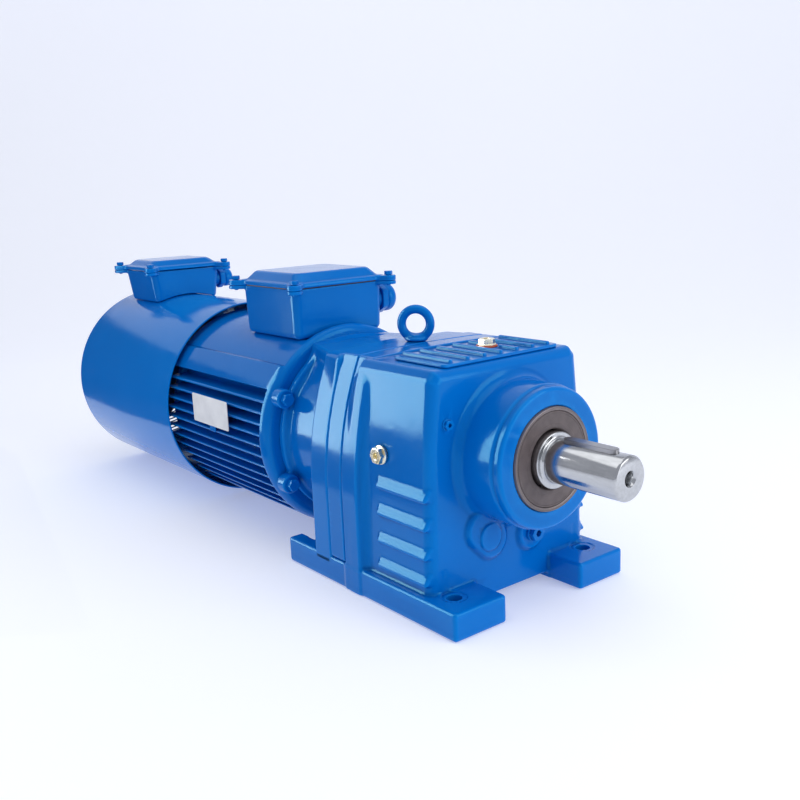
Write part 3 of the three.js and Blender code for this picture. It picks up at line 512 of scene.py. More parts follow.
def wound_copper(name="winding_copper"):
    """Varnished copper strands bundled round the bore."""
    n = Nodes(name)
    strands = n.noise(1.0, 3.0, n.stretched((750.0, 90.0, 90.0)))
    n.set(base_color=n.ramp(strands, (0.3, (0.16, 0.045, 0.012)), (0.7, (0.62, 0.25, 0.09))),
          metallic=0.7, roughness=0.38, coat_weight=0.4, normal=n.bump(strands, 0.7, 0.0012))
    return n.material


def plate_metal(name="nameplate_metal"):
    """Pale brushed aluminium with no lettering."""
    n = Nodes(name)
    brushed = n.noise(1.0, 4.0, n.stretched((40.0, 900.0, 1600.0)))
    smudge = n.noise(45.0, 4.0)
    shade = n.mix(n.ramp(smudge, (0.35, 0.0), (0.7, 1.0)), (0.80, 0.81, 0.82), (0.70, 0.71, 0.73))
    n.set(base_color=shade, metallic=0.1, roughness=n.ramp(brushed, (0.3, 0.30), (0.7, 0.44)),
          normal=n.bump(brushed, 0.08, 0.0002))
    return n.material


def moulded(name, colour, rough=0.42, metallic=0.0):
    """Moulded or coated surface with a fine grain and a painted highlight along outer edges."""
    n = Nodes(name)
    shade = n.mix(n.ramp(n.noise(30.0, 5.0), (0.4, 0.0), (0.7, 1.0)), colour,
                  tuple(1.35 * c + 0.004 for c in colour))
    # Painted highlight: lighter along outer edges.
    shade = n.mix(n.ramp(n.edges(), (0.6, 0.0), (1.0, 0.4)), shade, tuple(2 * c + 0.03 for c in colour))
    n.set(base_color=shade, metallic=metallic, normal=n.bump(n.noise(600.0, 3.0), 0.18, 0.0003),
          roughness=n.ramp(n.noise(60.0, 4.0), (0.3, rough - 0.06), (0.7, rough + 0.1)))
    return n.material


BLUE = enamel()
SHEET_BLUE = enamel("sheet_enamel", cast=0.45)
STEEL = turned_steel()
KEY_STEEL = ground_steel("key_steel", (0.30, 0.30, 0.315), 0.34, (60.0, 900.0, 900.0))
GEAR_STEEL = ground_steel("gear_steel", (0.33, 0.33, 0.345), 0.3)
BEARING_STEEL = ground_steel("bearing_steel", (0.62, 0.62, 0.64), 0.16, (500.0, 500.0, 500.0))
BRACKET_STEEL = ground_steel("bracket_steel", (0.24, 0.245, 0.25), 0.45, (300.0, 300.0, 300.0))
SEAL_CASE = ground_steel("seal_case", (0.20, 0.17, 0.17), 0.4, (400.0, 400.0, 400.0), 0.4)
CORE_STEEL = laminated_steel()
SEAL_RUBBER = rubber("seal_rubber", (0.125, 0.098, 0.098), 0.5)
GASKET_RUBBER = rubber("gasket_rubber", (0.018, 0.019, 0.021), 0.6)
BRASS = plated_brass()
WASHER = rubber("fibre_washer", (0.62, 0.10, 0.03), 0.45)
COPPER = wound_copper()
PLATE = plate_metal()
BLACK = moulded("black_plastic", (0.012, 0.0125, 0.014))


# ------------------------------------------------------------------ gear unit casting
def casing_section(y, z):
    """Cross-section of the gearcase body: slightly tapered walls, a crease and a chamfered top."""
    half = np.abs(y)
    walls = [edge_line(half, z, a, b) for a, b in zip(BODY_SIDE, BODY_SIDE[1:])]
    section = meet(walls[0], walls[1], 1.5)
    section = meet(section, walls[2], 2.0)
    return meet(section, z - BODY_SIDE[-1][1], 2.0)


def flange_section(y, z, top=FLANGE_TOP, corner=1.5):
    """Rounded-square outline shared by the gearcase, the adapter and the motor flange."""
    bend, low = 400, 120
    half = np.abs(y)
    side = np.where(z < low, half - FLANGE_HALF, length(half + bend - FLANGE_HALF, z - low) - bend)
    crown = 2400
    roof = length(half, z - top - 1.5 + crown) - crown
    return meet(side, roof, corner)


def foot_rails(x, y, z):
    centre = (RAIL["inner"] + FLANGE_HALF) / 2
    middle = (RAIL["front"] + CASE_LO[0]) / 2
    plan = rounded(x - middle, np.abs(y) - centre, RAIL["front"] - middle,
                   FLANGE_HALF - centre, RAIL["corner"])
    return meet(plan, between(z, 0, RAIL["height"]), 3.5)


def foot_holes(x, y, z):
    holes = []
    for at in FOOT_HOLES["x"]:
        across = np.abs(y) - FOOT_HOLES["y"]
        hole = bar(z, x - at, across, -9, 60, FOOT_HOLES["radius"])
        seat = bar(z, x - at, across, RAIL["height"] - 1, 60, FOOT_HOLES["seat"], 0.9)
        holes.append(np.minimum(hole, seat))
    return np.minimum(*holes)


def side_ribs(x, y, z):
    """Four slanted ribs on each side wall: steep underneath, sloping on top."""
    wall = edge_line(np.abs(y), z, BODY_SIDE[0], BODY_SIDE[1])
    found = None
    for height in RIBS:
        proud = 4.6 * (height + 5 - z) / 7
        rib = meet((wall - proud) * 0.84, between(z, height - 6, height + 9), 1.2)
        rib = meet(rib, wall - 4.6, 1.2)
        rib = meet(rib, between(x, 20, BODY_FRONT - 3), 4)
        found = rib if found is None else np.minimum(found, rib)
    return found


def output_boss(x, y, z):
    """Round boss round the output shaft, with a slightly smaller rim at its face."""
    face = CASE_HI[0]
    barrel = bar(x, y, z - OUTPUT_Z, 90, face - 11, BOSS_RADIUS, 3)
    rim = bar(x, y, z - OUTPUT_Z, 90, face, BOSS_RADIUS - 2.2, 4.5)
    return join(barrel, rim, 2)


def front_bosses(x, y, z):
    """Capsule over the intermediate bearing with its round cap, and the drain plug's boss."""
    capsule = meet(segment(y, z, *CAPSULE) - 22, between(x, 90, BODY_FRONT + 5), 3.5)
    cap = bar(x, y + 40, z - 83, 90, BODY_FRONT + 7, 16.5, 1.6)
    drain = bar(x, y - DRAIN_PLUG[0], z - DRAIN_PLUG[1], 90, BODY_FRONT + 5, 21, 3)
    return join(join(capsule, cap, 1.2), drain, 3)


def gear_chambers(x, y, z):
    """The hollow inside: a chamber each side of the bearing web, joined by its bores."""
    inner = meet(casing_section(y, z) + WALL, 18.5 - z, 4)
    rear = meet(inner, x + 4, 2)
    bearing = bar(x, y - MID_Y, z - MID_Z, 80, BODY_FRONT, 41, 1)
    front = cut(meet(inner, between(x, 18, BODY_FRONT - WALL - 2), 3), bearing, 2)
    hollow = np.minimum(rear, front)
    inside = BODY_FRONT - WALL - 4
    for bore in (
        bar(x, y, z - OUTPUT_Z, -5, 19, 45.3),
        bar(x, y - MID_Y, z - MID_Z, -5, 19, 33),
        bar(x, y - MID_Y, z - MID_Z, 79, inside + 5, 31.3),
        bar(x, y, z - OUTPUT_Z, inside, 127, 50),
        bar(x, y, z - OUTPUT_Z, 125, CASE_HI[0] + 20, SEAL_BORE),
        bar(x, y - DRAIN_PLUG[0], z - DRAIN_PLUG[1], inside, BODY_FRONT + 20, 8.7),
        bar(x, y - FRONT_PLUG[0], z - FRONT_PLUG[1], inside, BODY_FRONT + 20, 5.2),
        bar(y, x - LEVEL_PLUG[0], z - LEVEL_PLUG[1], -160, -100, 8.7),
        brick(x, y, z, (22, -84, 267), (98, 84, 320), 4),
    ):
        hollow = np.minimum(hollow, bore)
    return hollow


def gearcase_field(x, y, z):
    body = meet(casing_section(y, z), x - BODY_FRONT, 13)
    body = meet(body, -20 - x, 1)
    body = meet(body, 0 - z, 2)
    flange = meet(flange_section(y, z), between(x, FLANGE_REAR, FLANGE_FRONT), 3)
    flange = meet(flange, 0 - z, 2)
    easing = np.clip((z - 262) / 20, 0, 1)
    shape = join(body, flange, 15 - 13.5 * easing)
    shape = join(shape, side_ribs(x, y, z), 2.5)
    shape = join(shape, foot_rails(x, y, z), 4)
    shape = join(shape, output_boss(x, y, z), 13)
    shape = join(shape, front_bosses(x, y, z), 5)
    # The feet are machined flat, so nothing the joins add may stand below the mounting face.
    shape = np.maximum(shape, 0 - z)
    recess = brick(x, y, z, (30, -62, -40), (BODY_FRONT + 40, 62, 9), 5)
    shape = cut(shape, recess, 2)
    shape = cut(shape, foot_holes(x, y, z), 0.8)
    return cut(shape, gear_chambers(x, y, z), 1.2)


def adapter_field(x, y, z):
    plate = meet(flange_section(y, z), between(x, ADAPTER_LO[0], ADAPTER_HI[0]), 1.6)
    plate = meet(plate, ADAPTER_LO[2] - z, 4)
    holes = np.minimum(
        bar(x, y, z - MOTOR_Z, ADAPTER_LO[0] - 20, 0, 36.6),
        bar(x, y - MID_Y, z - MID_Z, ADAPTER_LO[0] + 10.7, 0, 31.3),
    )
    middle = (ADAPTER_LO[0] + ADAPTER_HI[0]) / 2
    holes = np.minimum(holes, bar(z, x - middle, y, 262, 400, 8.3))
    return cut(plate, holes, 1)


# ------------------------------------------------------------------ motor castings
LUG_ANGLES = (26, 154, 206, 334)
LUG_REACH = 134
SHIELD_FLANGE = -103
MOTOR_FLANGE_TOP = 283


def shield_field(x, y, z):
    """Motor end shield: a bolted ring, a waisted neck and the flange that meets the adapter."""
    rear, front = SHIELD_LO[0], SHIELD_HI[0]
    radius = length(y, z - MOTOR_Z)
    ring = meet(radius - 125, between(x, rear, rear + 11), 3)
    neck = meet(radius - 116.5, between(x, rear, front - 5), 2)
    flange = meet(flange_section(y, z, MOTOR_FLANGE_TOP), between(x, SHIELD_FLANGE, front), 3)
    flange = meet(flange, SHIELD_LO[2] - z, 4)
    shape = join(join(neck, ring, 8), flange, 26)
    spread = 62 + 34 * (x - rear) / (SHIELD_FLANGE - rear)
    saddle = meet((np.abs(y) - spread) * 0.93, between(z, 200, MOTOR_FLANGE_TOP - 1.5), 5)
    saddle = meet(saddle, between(x, rear, front - 5), 2)
    shape = join(shape, saddle, 16)
    for angle in LUG_ANGLES:
        a = math.radians(angle)
        at_y, at_z = LUG_REACH * math.cos(a), MOTOR_Z + LUG_REACH * math.sin(a)
        lug = bar(x, y - at_y, z - at_z, rear, rear + 18, 13, 2.5)
        shape = join(shape, lug, 5)
        shape = cut(shape, bar(x, y - at_y, z - at_z, rear - 9, rear + 40, 5), 0.6)
    inside = meet(radius - 99, x - SHIELD_FLANGE + 2, 4)
    inside = np.minimum(inside, bar(x, y, z - MOTOR_Z, -150, -82, 50.3))
    inside = np.minimum(inside, bar(x, y, z - MOTOR_Z, -150, 0, 38))
    return cut(shape, inside, 1)


FINS = {"pitch": 15, "lowest": -98, "count": 11}
FIN_RADIUS = FRAME_HI[1]
BOX_SEAT = {"x": (-362, -212), "half": 77, "z": 283.7}


def frame_field(x, y, z):
    """Finned motor frame: plates standing out sideways, plain above and below, ringed in front."""
    rear, front = FRAME_LO[0], FRAME_HI[0]
    up = z - MOTOR_Z
    radius = length(y, up)
    nose = 19
    fall = np.clip((x - front + nose) / nose, 0, 1)
    envelope = radius - (FIN_RADIUS - 12 * (1 - np.sqrt(1 - 0.98 * fall * fall)))
    nearest = np.clip(np.round((up - FINS["lowest"]) / FINS["pitch"]), 0, FINS["count"] - 1)
    taper = 2.6 - 0.035 * (radius - 119)
    fins = np.abs(up - FINS["lowest"] - nearest * FINS["pitch"]) - taper
    plain = np.minimum(68 - up, up + 112)
    ridges = np.minimum(fins, np.where(up > 0, 68 - up, up + 112))
    slots_end = front - 17 - x
    solid = np.minimum(np.minimum(ridges, plain * 0 + ridges), slots_end)
    shape = join(meet(solid, envelope, 1.4), radius - 119, 4)
    step = np.where(up > 98, radius - FIN_RADIUS + 3, radius - FIN_RADIUS - 1)
    shape = meet(shape, step, 1)
    shape = meet(shape, between(x, rear, front), 2.5)
    x0, x1 = BOX_SEAT["x"]
    seat = brick(x, y, z, (x0, -BOX_SEAT["half"], BOX_SEAT["z"]), (x1, BOX_SEAT["half"], 420), 4)
    shape = cut(shape, seat, 2)
    shape = cut(shape, bar(z, x - (x0 + x1) / 2, y, 240, 400, 20), 1)
    return cut(shape, radius - 104.5, 1)


# ------------------------------------------------------------------ small castings and fasteners
def top_cover_field(x, y, z):
    """Inspection cover: a thin plate with ribs along X and a round pad for the breather."""
    lo, hi = span("gearcase_top_cover")
    base = lo[2]
    middle, half_x, half_y = (lo[0] + hi[0]) / 2, (hi[0] - lo[0]) / 2, hi[1]
    plate = meet(rounded(x - middle, y, half_x, half_y, 7), between(z, base, base + 4), 1.2)
    nearest = np.clip(np.round(y / 26), -3, 3) * 26
    ribs = meet(np.abs(y - nearest) - 2.5, between(x, lo[0] + 4, hi[0] - 4), 2)
    ribs = meet(ribs, between(z, base + 1, base + 8), 1.6)
    shape = join(plate, ribs, 2)
    room = bar(z, x - BREATHER[0], y - BREATHER[1], base + 5, base + 30, 15, 0.5)
    shape = cut(shape, room, 1)
    shape = join(shape, bar(z, x - BREATHER[0], y - BREATHER[1], base, base + 5, 15, 0.8), 1)
    return cut(shape, bar(z, x - BREATHER[0], y - BREATHER[1], base - 9, base + 20, 8.7), 0.6)


BREATHER = (58, 18)
BREATHER_SEAT = 292.3
EYE_X = -52.3
EYE_Z = 313
EYE_TURN = math.radians(40)


def eyebolt_field(x, y, z):
    dx, up = x - EYE_X, z - EYE_Z
    along = dx * math.cos(EYE_TURN) + y * math.sin(EYE_TURN)
    through = y * math.cos(EYE_TURN) - dx * math.sin(EYE_TURN)
    loop = length(length(along, up) - 18.5, through) - 5.7
    collar = bar(z, dx, y, 291.8, 296, 13, 2)
    neck = bar(z, dx, y, 294, 299.5, 10, 2)
    shank = bar(z, dx, y, 267, 294, 8)
    return join(join(join(collar, neck, 2.5), loop, 4), shank, 0.5)


def small_plug_field(a, u, v):
    return 0.6 * plug_field(a / 0.6, u / 0.6, v / 0.6)


def plug_field(a, u, v, collar_start=GAP):
    """Sealing plug along its first coordinate: thread, collar and a hexagon with a socket."""
    shape = bar(a, u, v, -12, 1, 8, 0.6)
    shape = join(shape, bar(a, u, v, collar_start, 3.6, 11.5, 0.9), 0.5)
    head = meet(hexagon(u, v, 18.2), between(a, 2.5, 10), 0.5)
    head = meet(head, length(u, v) * 0.5 + a * 0.866 - 13.3, 0.5)
    socket = meet(hexagon(u, v, 7.6), 4 - a, 0.4)
    return cut(join(shape, head, 0.6), socket, 0.7)


def hex_bolt_field(a, u, v, across, height, shank_radius, shank_length):
    """Hexagon-headed screw along its first coordinate, seated at zero."""
    head = meet(hexagon(u, v, across), between(a, GAP, height), 0.5)
    head = meet(head, length(u, v) * 0.5 + a * 0.866 - (across * 0.27 + height * 0.866), 0.5)
    return join(head, bar(a, u, v, -shank_length, 1, shank_radius, 0.5), 0.3)


# ------------------------------------------------------------------ terminal boxes
class Box:
    """Sizes of one terminal box, read from its CAD nodes."""

    def __init__(self, prefix, low_half, gland):
        lo, hi = span(prefix)
        lid_lo, lid_hi = span(prefix + "_lid")
        self.prefix = prefix
        self.x0, self.x1 = lo[0] + 19, hi[0] - 19
        self.half, self.top_half = low_half, hi[1] - 16
        self.z0, self.z1, self.lid = lo[2], hi[2], lid_hi[2]
        self.middle = (self.x0 + self.x1) / 2
        self.half_x = (self.x1 - self.x0) / 2
        self.gland = gland

    def ears(self):
        left, right, y = self.x0 - 8, self.x1 + 8, self.top_half + 5
        return [(left, -y), (right, -y), (left, y), (right, y)]

    def ear_field(self, x, y, z, low, high, r):
        """Screw lugs, each a rounded tab that reaches back into the box's corner."""
        across = np.abs(x - self.middle) - self.half_x - 8
        along = np.abs(y) - self.top_half - 5
        tab = segment(across, along, (0, 0), (-9, -6)) - 10.5
        return meet(tab, between(z, low, high), r)

    def holes(self, x, y, z, low, high):
        across = np.abs(x - self.middle) - self.half_x - 8
        return bar(z, across, np.abs(y) - self.top_half - 5, low, high, 3.4)

    def base(self, x, y, z):
        rise = (z - self.z0) / (self.z1 - self.z0)
        half_y = self.half + (self.top_half - self.half) * rise
        half_x = self.half_x - 1.5 * (1 - rise)
        walls = rounded(x - self.middle, y, half_x, half_y, 11)
        shape = meet(meet(walls, z - self.z1, 0.8), self.z0 - z, 8)
        shape = join(shape, self.ear_field(x, y, z, self.z1 - 5, self.z1, 1), 3)
        inside = meet(walls + 5, self.z0 + 6 - z, 4)
        shape = cut(shape, inside, 0.8)
        shape = cut(shape, self.holes(x, y, z, self.z1 - 13, self.z1 + 20), 0.5)
        gx, gz, radius = self.gland
        shape = cut(shape, bar(y, x - gx, z - gz, 30, 200, radius - 5), 0.6)
        return cut(shape, bar(z, x - self.middle, y, self.z0 - 20, self.z0 + 12, 12), 0.6)

    def lid_field(self, x, y, z):
        low, rim_top = self.z1 + 2 + GAP, self.z1 + 8
        plan = rounded(x - self.middle, y, self.half_x + 3, self.top_half + 3, 12)
        rim = meet(plan, between(z, low, rim_top), 2.2)
        rim = join(rim, self.ear_field(x, y, z, self.z1 + GAP, rim_top, 1.4), 4)
        fall = 11 / (self.lid - rim_top)
        size = math.hypot(1, fall)
        reach = (z - rim_top) * fall
        slope_x = (np.abs(x - self.middle) - self.half_x + 1 + reach) / size
        slope_y = (np.abs(y) - self.top_half + 2 + reach) / size
        crown = meet(meet(slope_x, slope_y, 9), between(z, low, self.lid), 2.5)
        shape = join(rim, crown, 2.5)
        return cut(shape, self.holes(x, y, z, low - 9, rim_top + 9), 0.5)

    def gland_field(self, x, y, z):
        """Domed cable gland on the +Y wall, standing off it on a narrower thread."""
        gx, gz, radius = self.gland
        a, u, v = y - self.top_half - 1, x - gx, z - gz
        thread = bar(a, u, v, -14, 5, radius - 6, 0.8)
        nut = meet(hexagon(v, u, 2 * radius - 5), between(a, 2.5, 12), 1.2)
        nut = meet(nut, length(u, v) - radius + 0.6, 1)
        cap = bar(a, u, v, 9, 30, radius - 2.5, 9)
        shape = join(join(thread, nut, 0.6), cap, 1.2)
        return cut(shape, bar(a, u, v, -30, 60, radius - 11), 1)


# ------------------------------------------------------------------ build: gear unit
FULL = 0.35  # share of the grid's triangles kept on large castings


def cast(name, field, lo, hi, step, body, material, slot, keep=FULL):
    """A cast piece that stands for the CAD node of the same name."""
    return piece(name + "_skin", cast_mesh(name + "_skin", field, lo, hi, step, keep),
                 body, material, slot, name)


def cast_node(name, field, step, material, slot, body="housing", keep=FULL):
    """The same, with the CAD node's own extent."""
    lo, hi = span(name)
    return cast(name, field, lo - 1, hi + 1, step, body, material, slot, keep)


cast("gearcase", gearcase_field, CASE_LO, CASE_HI + (0, 0, 3), 1.9, "housing", BLUE, "blue_enamel")
cast("adapter_plate", adapter_field, ADAPTER_LO, ADAPTER_HI + (0, 0, 3), 1.6,
     "housing", BLUE, "blue_enamel")
cast_node("gearcase_top_cover", top_cover_field, 1.1, BLUE, "blue_enamel")
cast_node("eyebolt", eyebolt_field, 0.8, BLUE, "blue_enamel")

PLUG_SEATS = {
    "level_plug": (lambda x, y, z: plug_field(-y - 126.4, x - LEVEL_PLUG[0], z - LEVEL_PLUG[1]),
                   BRASS, "brass_plug"),
    "drain_plug": (lambda x, y, z: plug_field(x - BODY_FRONT - 5, y - DRAIN_PLUG[0],
                                              z - DRAIN_PLUG[1]), BLUE, "blue_enamel"),
    "front_plug": (lambda x, y, z: small_plug_field(x - BODY_FRONT, y - FRONT_PLUG[0],
                                                    z - FRONT_PLUG[1]), BLUE, "blue_enamel"),
    "breather_plug": (lambda x, y, z: plug_field(z - BREATHER_SEAT, x - BREATHER[0],
                                                 y - BREATHER[1], 2.4), BRASS, "brass_plug"),
}
for node, (field, material, slot) in PLUG_SEATS.items():
    cast_node(node, field, 0.55, material, slot)

washer = cast_mesh("breather_washer", lambda x, y, z: cut(
    bar(z, x - BREATHER[0], y - BREATHER[1], BREATHER_SEAT + 0.1, BREATHER_SEAT + 2.3, 13, 0.7),
    bar(z, x - BREATHER[0], y - BREATHER[1], 280, 310, 8.4), 0.3),
    (44, 4, BREATHER_SEAT), (72, 32, BREATHER_SEAT + 3), 0.55, 0.5)
piece("breather_washer", washer, "housing", WASHER, "seal_rubber")


# ------------------------------------------------------------------ build: output shaft
SHAFT_RADIUS = 25
SEAL_RADIUS = 32.5
KEY_SEAT = {"start": 197, "end": 270, "width": 14, "depth": 5.5, "height": 9}
WHEEL_KEY = {"start": 28, "end": 60, "width": 18, "depth": 7, "height": 10}


def slot_outline(spec, spare=0.0, steps=10):
    """Outline in (X, Y) of a round-ended slot or key, shrunk by `spare`."""
    r = spec["width"] / 2 - spare
    rear, front = spec["start"] + spare + r, spec["end"] - spare - r
    turn = [math.pi / 2 + math.pi * i / steps for i in range(steps + 1)]
    left = [(rear + r * math.cos(a), r * math.sin(a)) for a in turn]
    return left + [(front - r * math.cos(a), -r * math.sin(a)) for a in turn]


def prism_mesh(name, outline, z0, z1, bevel=0.0):
    """A flat outline raised from z0 to z1, with its top and bottom edges bevelled."""
    mesh = bpy.data.meshes.new(name)
    work = bmesh.new()
    low = [work.verts.new((x * MM, y * MM, z0 * MM)) for x, y in outline]
    face = work.faces.new(low)
    raised = bmesh.ops.extrude_face_region(work, geom=[face])["geom"]
    lifted = [g for g in raised if isinstance(g, bmesh.types.BMVert)]
    bmesh.ops.translate(work, verts=lifted, vec=(0, 0, (z1 - z0) * MM))
    bmesh.ops.recalc_face_normals(work, faces=work.faces)
    if bevel:
        rims = [e for e in work.edges
                if all(abs(v.co.z - e.verts[0].co.z) < 1e-9 for v in e.verts)]
        bmesh.ops.bevel(work, geom=rims, offset=bevel * MM, segments=3, affect="EDGES")
    work.to_mesh(mesh)
    work.free()
    mesh.polygons.foreach_set("use_smooth", np.ones(len(mesh.polygons), bool))
    mesh.set_sharp_from_angle(angle=math.radians(40))
    return mesh


def carved(made, *cutters):
    """Cuts meshes out of an object for good."""
    for cutter in cutters:
        tool = bpy.data.objects.new("cutter", cutter)
        bpy.context.scene.collection.objects.link(tool)
        modifier = made.modifiers.new("cut", "BOOLEAN")
        modifier.object = tool
        modifier.solver = "EXACT"
        bpy.context.view_layer.update()
        depsgraph = bpy.context.evaluated_depsgraph_get()
        result = bpy.data.meshes.new_from_object(made.evaluated_get(depsgraph),
                                                 depsgraph=depsgraph)
        made.modifiers.clear()
        made.data = result
        bpy.data.objects.remove(tool)
    made.data.name = made.name
    made.data.set_sharp_from_angle(angle=math.radians(32))
    return made


shaft_end = SHAFT_HI[0]
shaft_profile = [
    (SHAFT_LO[0], 0), (SHAFT_LO[0], 23), (SHAFT_LO[0] + 1.5, 24.7), (18, 24.7), (18, 30), (66, 30),
    (66, 34), (67, 35), (125, 35), (126, 34), (126, SEAL_RADIUS), (185, SEAL_RADIUS),
    *arc(185, SEAL_RADIUS - 1.2, 1.2, 90, 0, 4), (186.2, 29.5),
    *arc(190.2, 29.2, 4.2, 180, 270, 6)[1:], (shaft_end - 2.6, SHAFT_RADIUS),
    (shaft_end - 2.2, SHAFT_RADIUS - 0.2), (shaft_end - 0.2, SHAFT_RADIUS - 2.2),
    (shaft_end, SHAFT_RADIUS - 2.6), (shaft_end, 9.2), (shaft_end - 0.3, 8.8),
    (shaft_end - 5, 6.6), (shaft_end - 38, 6.6), (shaft_end - 42, 0),
]
shaft = piece("output_shaft_turned", turned_mesh("output_shaft_turned", shaft_profile, 0, OUTPUT_Z),
              "output", STEEL, "machined_steel", "output_shaft")
carved(
    shaft,
    prism_mesh("keyway", slot_outline(KEY_SEAT), OUTPUT_Z + SHAFT_RADIUS - KEY_SEAT["depth"],
               OUTPUT_Z + 40),
    prism_mesh("wheel_keyway", slot_outline(WHEEL_KEY), OUTPUT_Z + 30 - WHEEL_KEY["depth"],
               OUTPUT_Z + 50),
)
for node, seat, spec, material, slot in (
    ("output_key", SHAFT_RADIUS, KEY_SEAT, KEY_STEEL, "key_steel"),
    ("output_wheel_key", 30, WHEEL_KEY, KEY_STEEL, "key_steel"),
):
    floor_z = OUTPUT_Z + seat - spec["depth"] + GAP
    mesh = prism_mesh(node + "_steel", slot_outline(spec, GAP), floor_z,
                      floor_z + spec["height"], 0.6)
    piece(node + "_steel", mesh, "output", material, slot, node)

seal_rear, seal_front = 169, 181
case_profile = [
    (seal_rear, 59.6), (179.0, 59.9), (180.3, 59.5), (180.6, 58.9), (180.0, 58.4), (179.8, 56.2),
    (179.4, 55.6), (seal_rear, 55.6),
]
piece("output_seal_case_ring", turned_mesh("output_seal_case_ring", case_profile, 0, OUTPUT_Z,
                                           closed=True),
      "housing", SEAL_CASE, "seal_case", "output_seal_case")
lip_profile = [
    (seal_rear, 55.1), (179, 55.1), (179.7, 54.4), (179.7, 52.9), (179.2, 52.3), (179.2, 41.0),
    (179.6, 40.5), (179.6, 36.4), (179.0, 35.4), (177.0, 34.2), (173.0, 33.1), (171.2, 33.6),
    (seal_rear, 36.0),
]
piece("output_seal_rubber", turned_mesh("output_seal_rubber", lip_profile, 0, OUTPUT_Z,
                                        closed=True),
      "housing", SEAL_RUBBER, "seal_rubber", "output_seal_lip")


# ------------------------------------------------------------------ build: motor
cast("drive_end_shield", shield_field, SHIELD_LO, SHIELD_HI + (0, 0, 3), 1.8,
     "housing", BLUE, "blue_enamel")
cast("motor_frame", frame_field, FRAME_LO, FRAME_HI, 1.75, "housing", BLUE, "blue_enamel", 0.3)


def lug_point(angle):
    a = math.radians(angle)
    return LUG_REACH * math.cos(a), MOTOR_Z + LUG_REACH * math.sin(a)


for number, angle in enumerate(LUG_ANGLES, 1):
    at_y, at_z = lug_point(angle)
    seat_x = SHIELD_LO[0] + 18
    cast_node(
        f"shield_bolt_{number}",
        lambda x, y, z: hex_bolt_field(x - seat_x, y - at_y, z - at_z, 14.8, 8, 4.5, 15),
        0.6, BLUE, "blue_enamel")


def nameplate_field(x, y, z):
    """Thin plate with rounded corners."""
    lo, hi = span("nameplate")
    middle, low = (lo[0] + hi[0]) / 2, lo[2] + 9
    rise = (low + hi[2]) / 2
    return meet(rounded(x - middle, z - rise, (hi[0] - lo[0]) / 2, (hi[2] - low) / 2, 2.5),
                between(y, lo[1], lo[1] + 1.5), 0.4)


def plate_clip_field(x, y, z):
    """Painted clip behind the nameplate, showing below it."""
    lo, hi = span("nameplate")
    middle = (lo[0] + hi[0]) / 2
    return brick(x, y, z, (middle - 8, lo[1] + 1.8, lo[2]), (middle + 8, hi[1], lo[2] + 30), 1)


cast_node("nameplate", nameplate_field, 0.7, PLATE, "nameplate_metal")
piece("nameplate_clip", cast_mesh("nameplate_clip", plate_clip_field, *span("nameplate"), 0.7),
      "housing", BLUE, "blue_enamel")


cover_rear, cover_front, cover_radius = COVER_LO[0], COVER_HI[0], COVER_HI[1]
cover_profile = [
    *arc(cover_rear + 3, cover_radius - 24, 3, 270, 180, 5),
    *arc(cover_rear + 9, cover_radius - 9, 9, 180, 90, 10),
    (cover_front - 1.2, cover_radius), (cover_front, cover_radius - 0.8),
    (cover_front, cover_radius - 2.2), (cover_rear + 9, cover_radius - 2.6),
    *arc(cover_rear + 9, cover_radius - 9, 6.4, 90, 180, 8)[1:],
    (cover_rear + 3.4, cover_radius - 24),
]
cover = piece("fan_cover_sheet", turned_mesh("fan_cover_sheet", cover_profile, 0, MOTOR_Z,
                                             segments=192, closed=True),
              "housing", SHEET_BLUE, "blue_enamel", "fan_cover")


def shield_dish_field(x, y, z):
    """Fan-end shield: a bolted rim, six stiffening ribs and a bearing hub."""
    lo, hi = span("fan_end_shield")
    up = z - MOTOR_Z
    radius = length(y, up)
    rim = meet(radius - 128, between(x, hi[0] - 12, hi[0]), 2)
    web = meet(radius - 122, between(x, hi[0] - 17, hi[0] - 8), 2)
    hub = bar(x, y, up, lo[0], hi[0] - 6, 60, 4)
    angle = np.arctan2(up, y)
    sector = math.pi / 3
    off = radius * np.sin(angle - np.round(angle / sector) * sector)
    rib = meet(np.abs(off) - 4, radius - 124, 1)
    rib = meet(rib, lo[0] + 8 + np.maximum(radius - 60, 0) * 0.3 - x, 1)
    rib = meet(rib, x - hi[0] + 9, 1)
    shape = join(join(join(rim, web, 3), hub, 8), rib, 4)
    hollow = meet(radius - 95, hi[0] - 8 - x, 3)
    hollow = np.minimum(hollow, bar(x, y, up, lo[0] + 4, hi[0] + 9, 42.8))
    return cut(shape, hollow, 1)


cast_node("fan_end_shield", shield_dish_field, 1.8, BLUE, "blue_enamel")


def hoop(x, ring_radius, wire):
    return arc(x, ring_radius, wire, 0, 360 - 36, 9)


def merged(name, meshes):
    """One mesh from several."""
    work = bmesh.new()
    for mesh in meshes:
        work.from_mesh(mesh)
        bpy.data.meshes.remove(mesh)
    made = bpy.data.meshes.new(name)
    work.to_mesh(made)
    work.free()
    return made


def rod_mesh(name, start, end, radius, sides=16):
    """A round wire between two points."""
    length_mm = (Vector(end) - Vector(start)).length
    profile = [(0, 0), (0, radius * 0.7), (radius * 0.3, radius), (length_mm - radius * 0.3, radius),
               (length_mm, radius * 0.7), (length_mm, 0)]
    mesh = turned_mesh(name, profile, 0, 0, segments=sides)
    turn = Vector((1, 0, 0)).rotation_difference(Vector(end) - Vector(start)).to_matrix().to_4x4()
    mesh.transform(Matrix.Translation(Vector(start) * MM) @ turn)
    return mesh


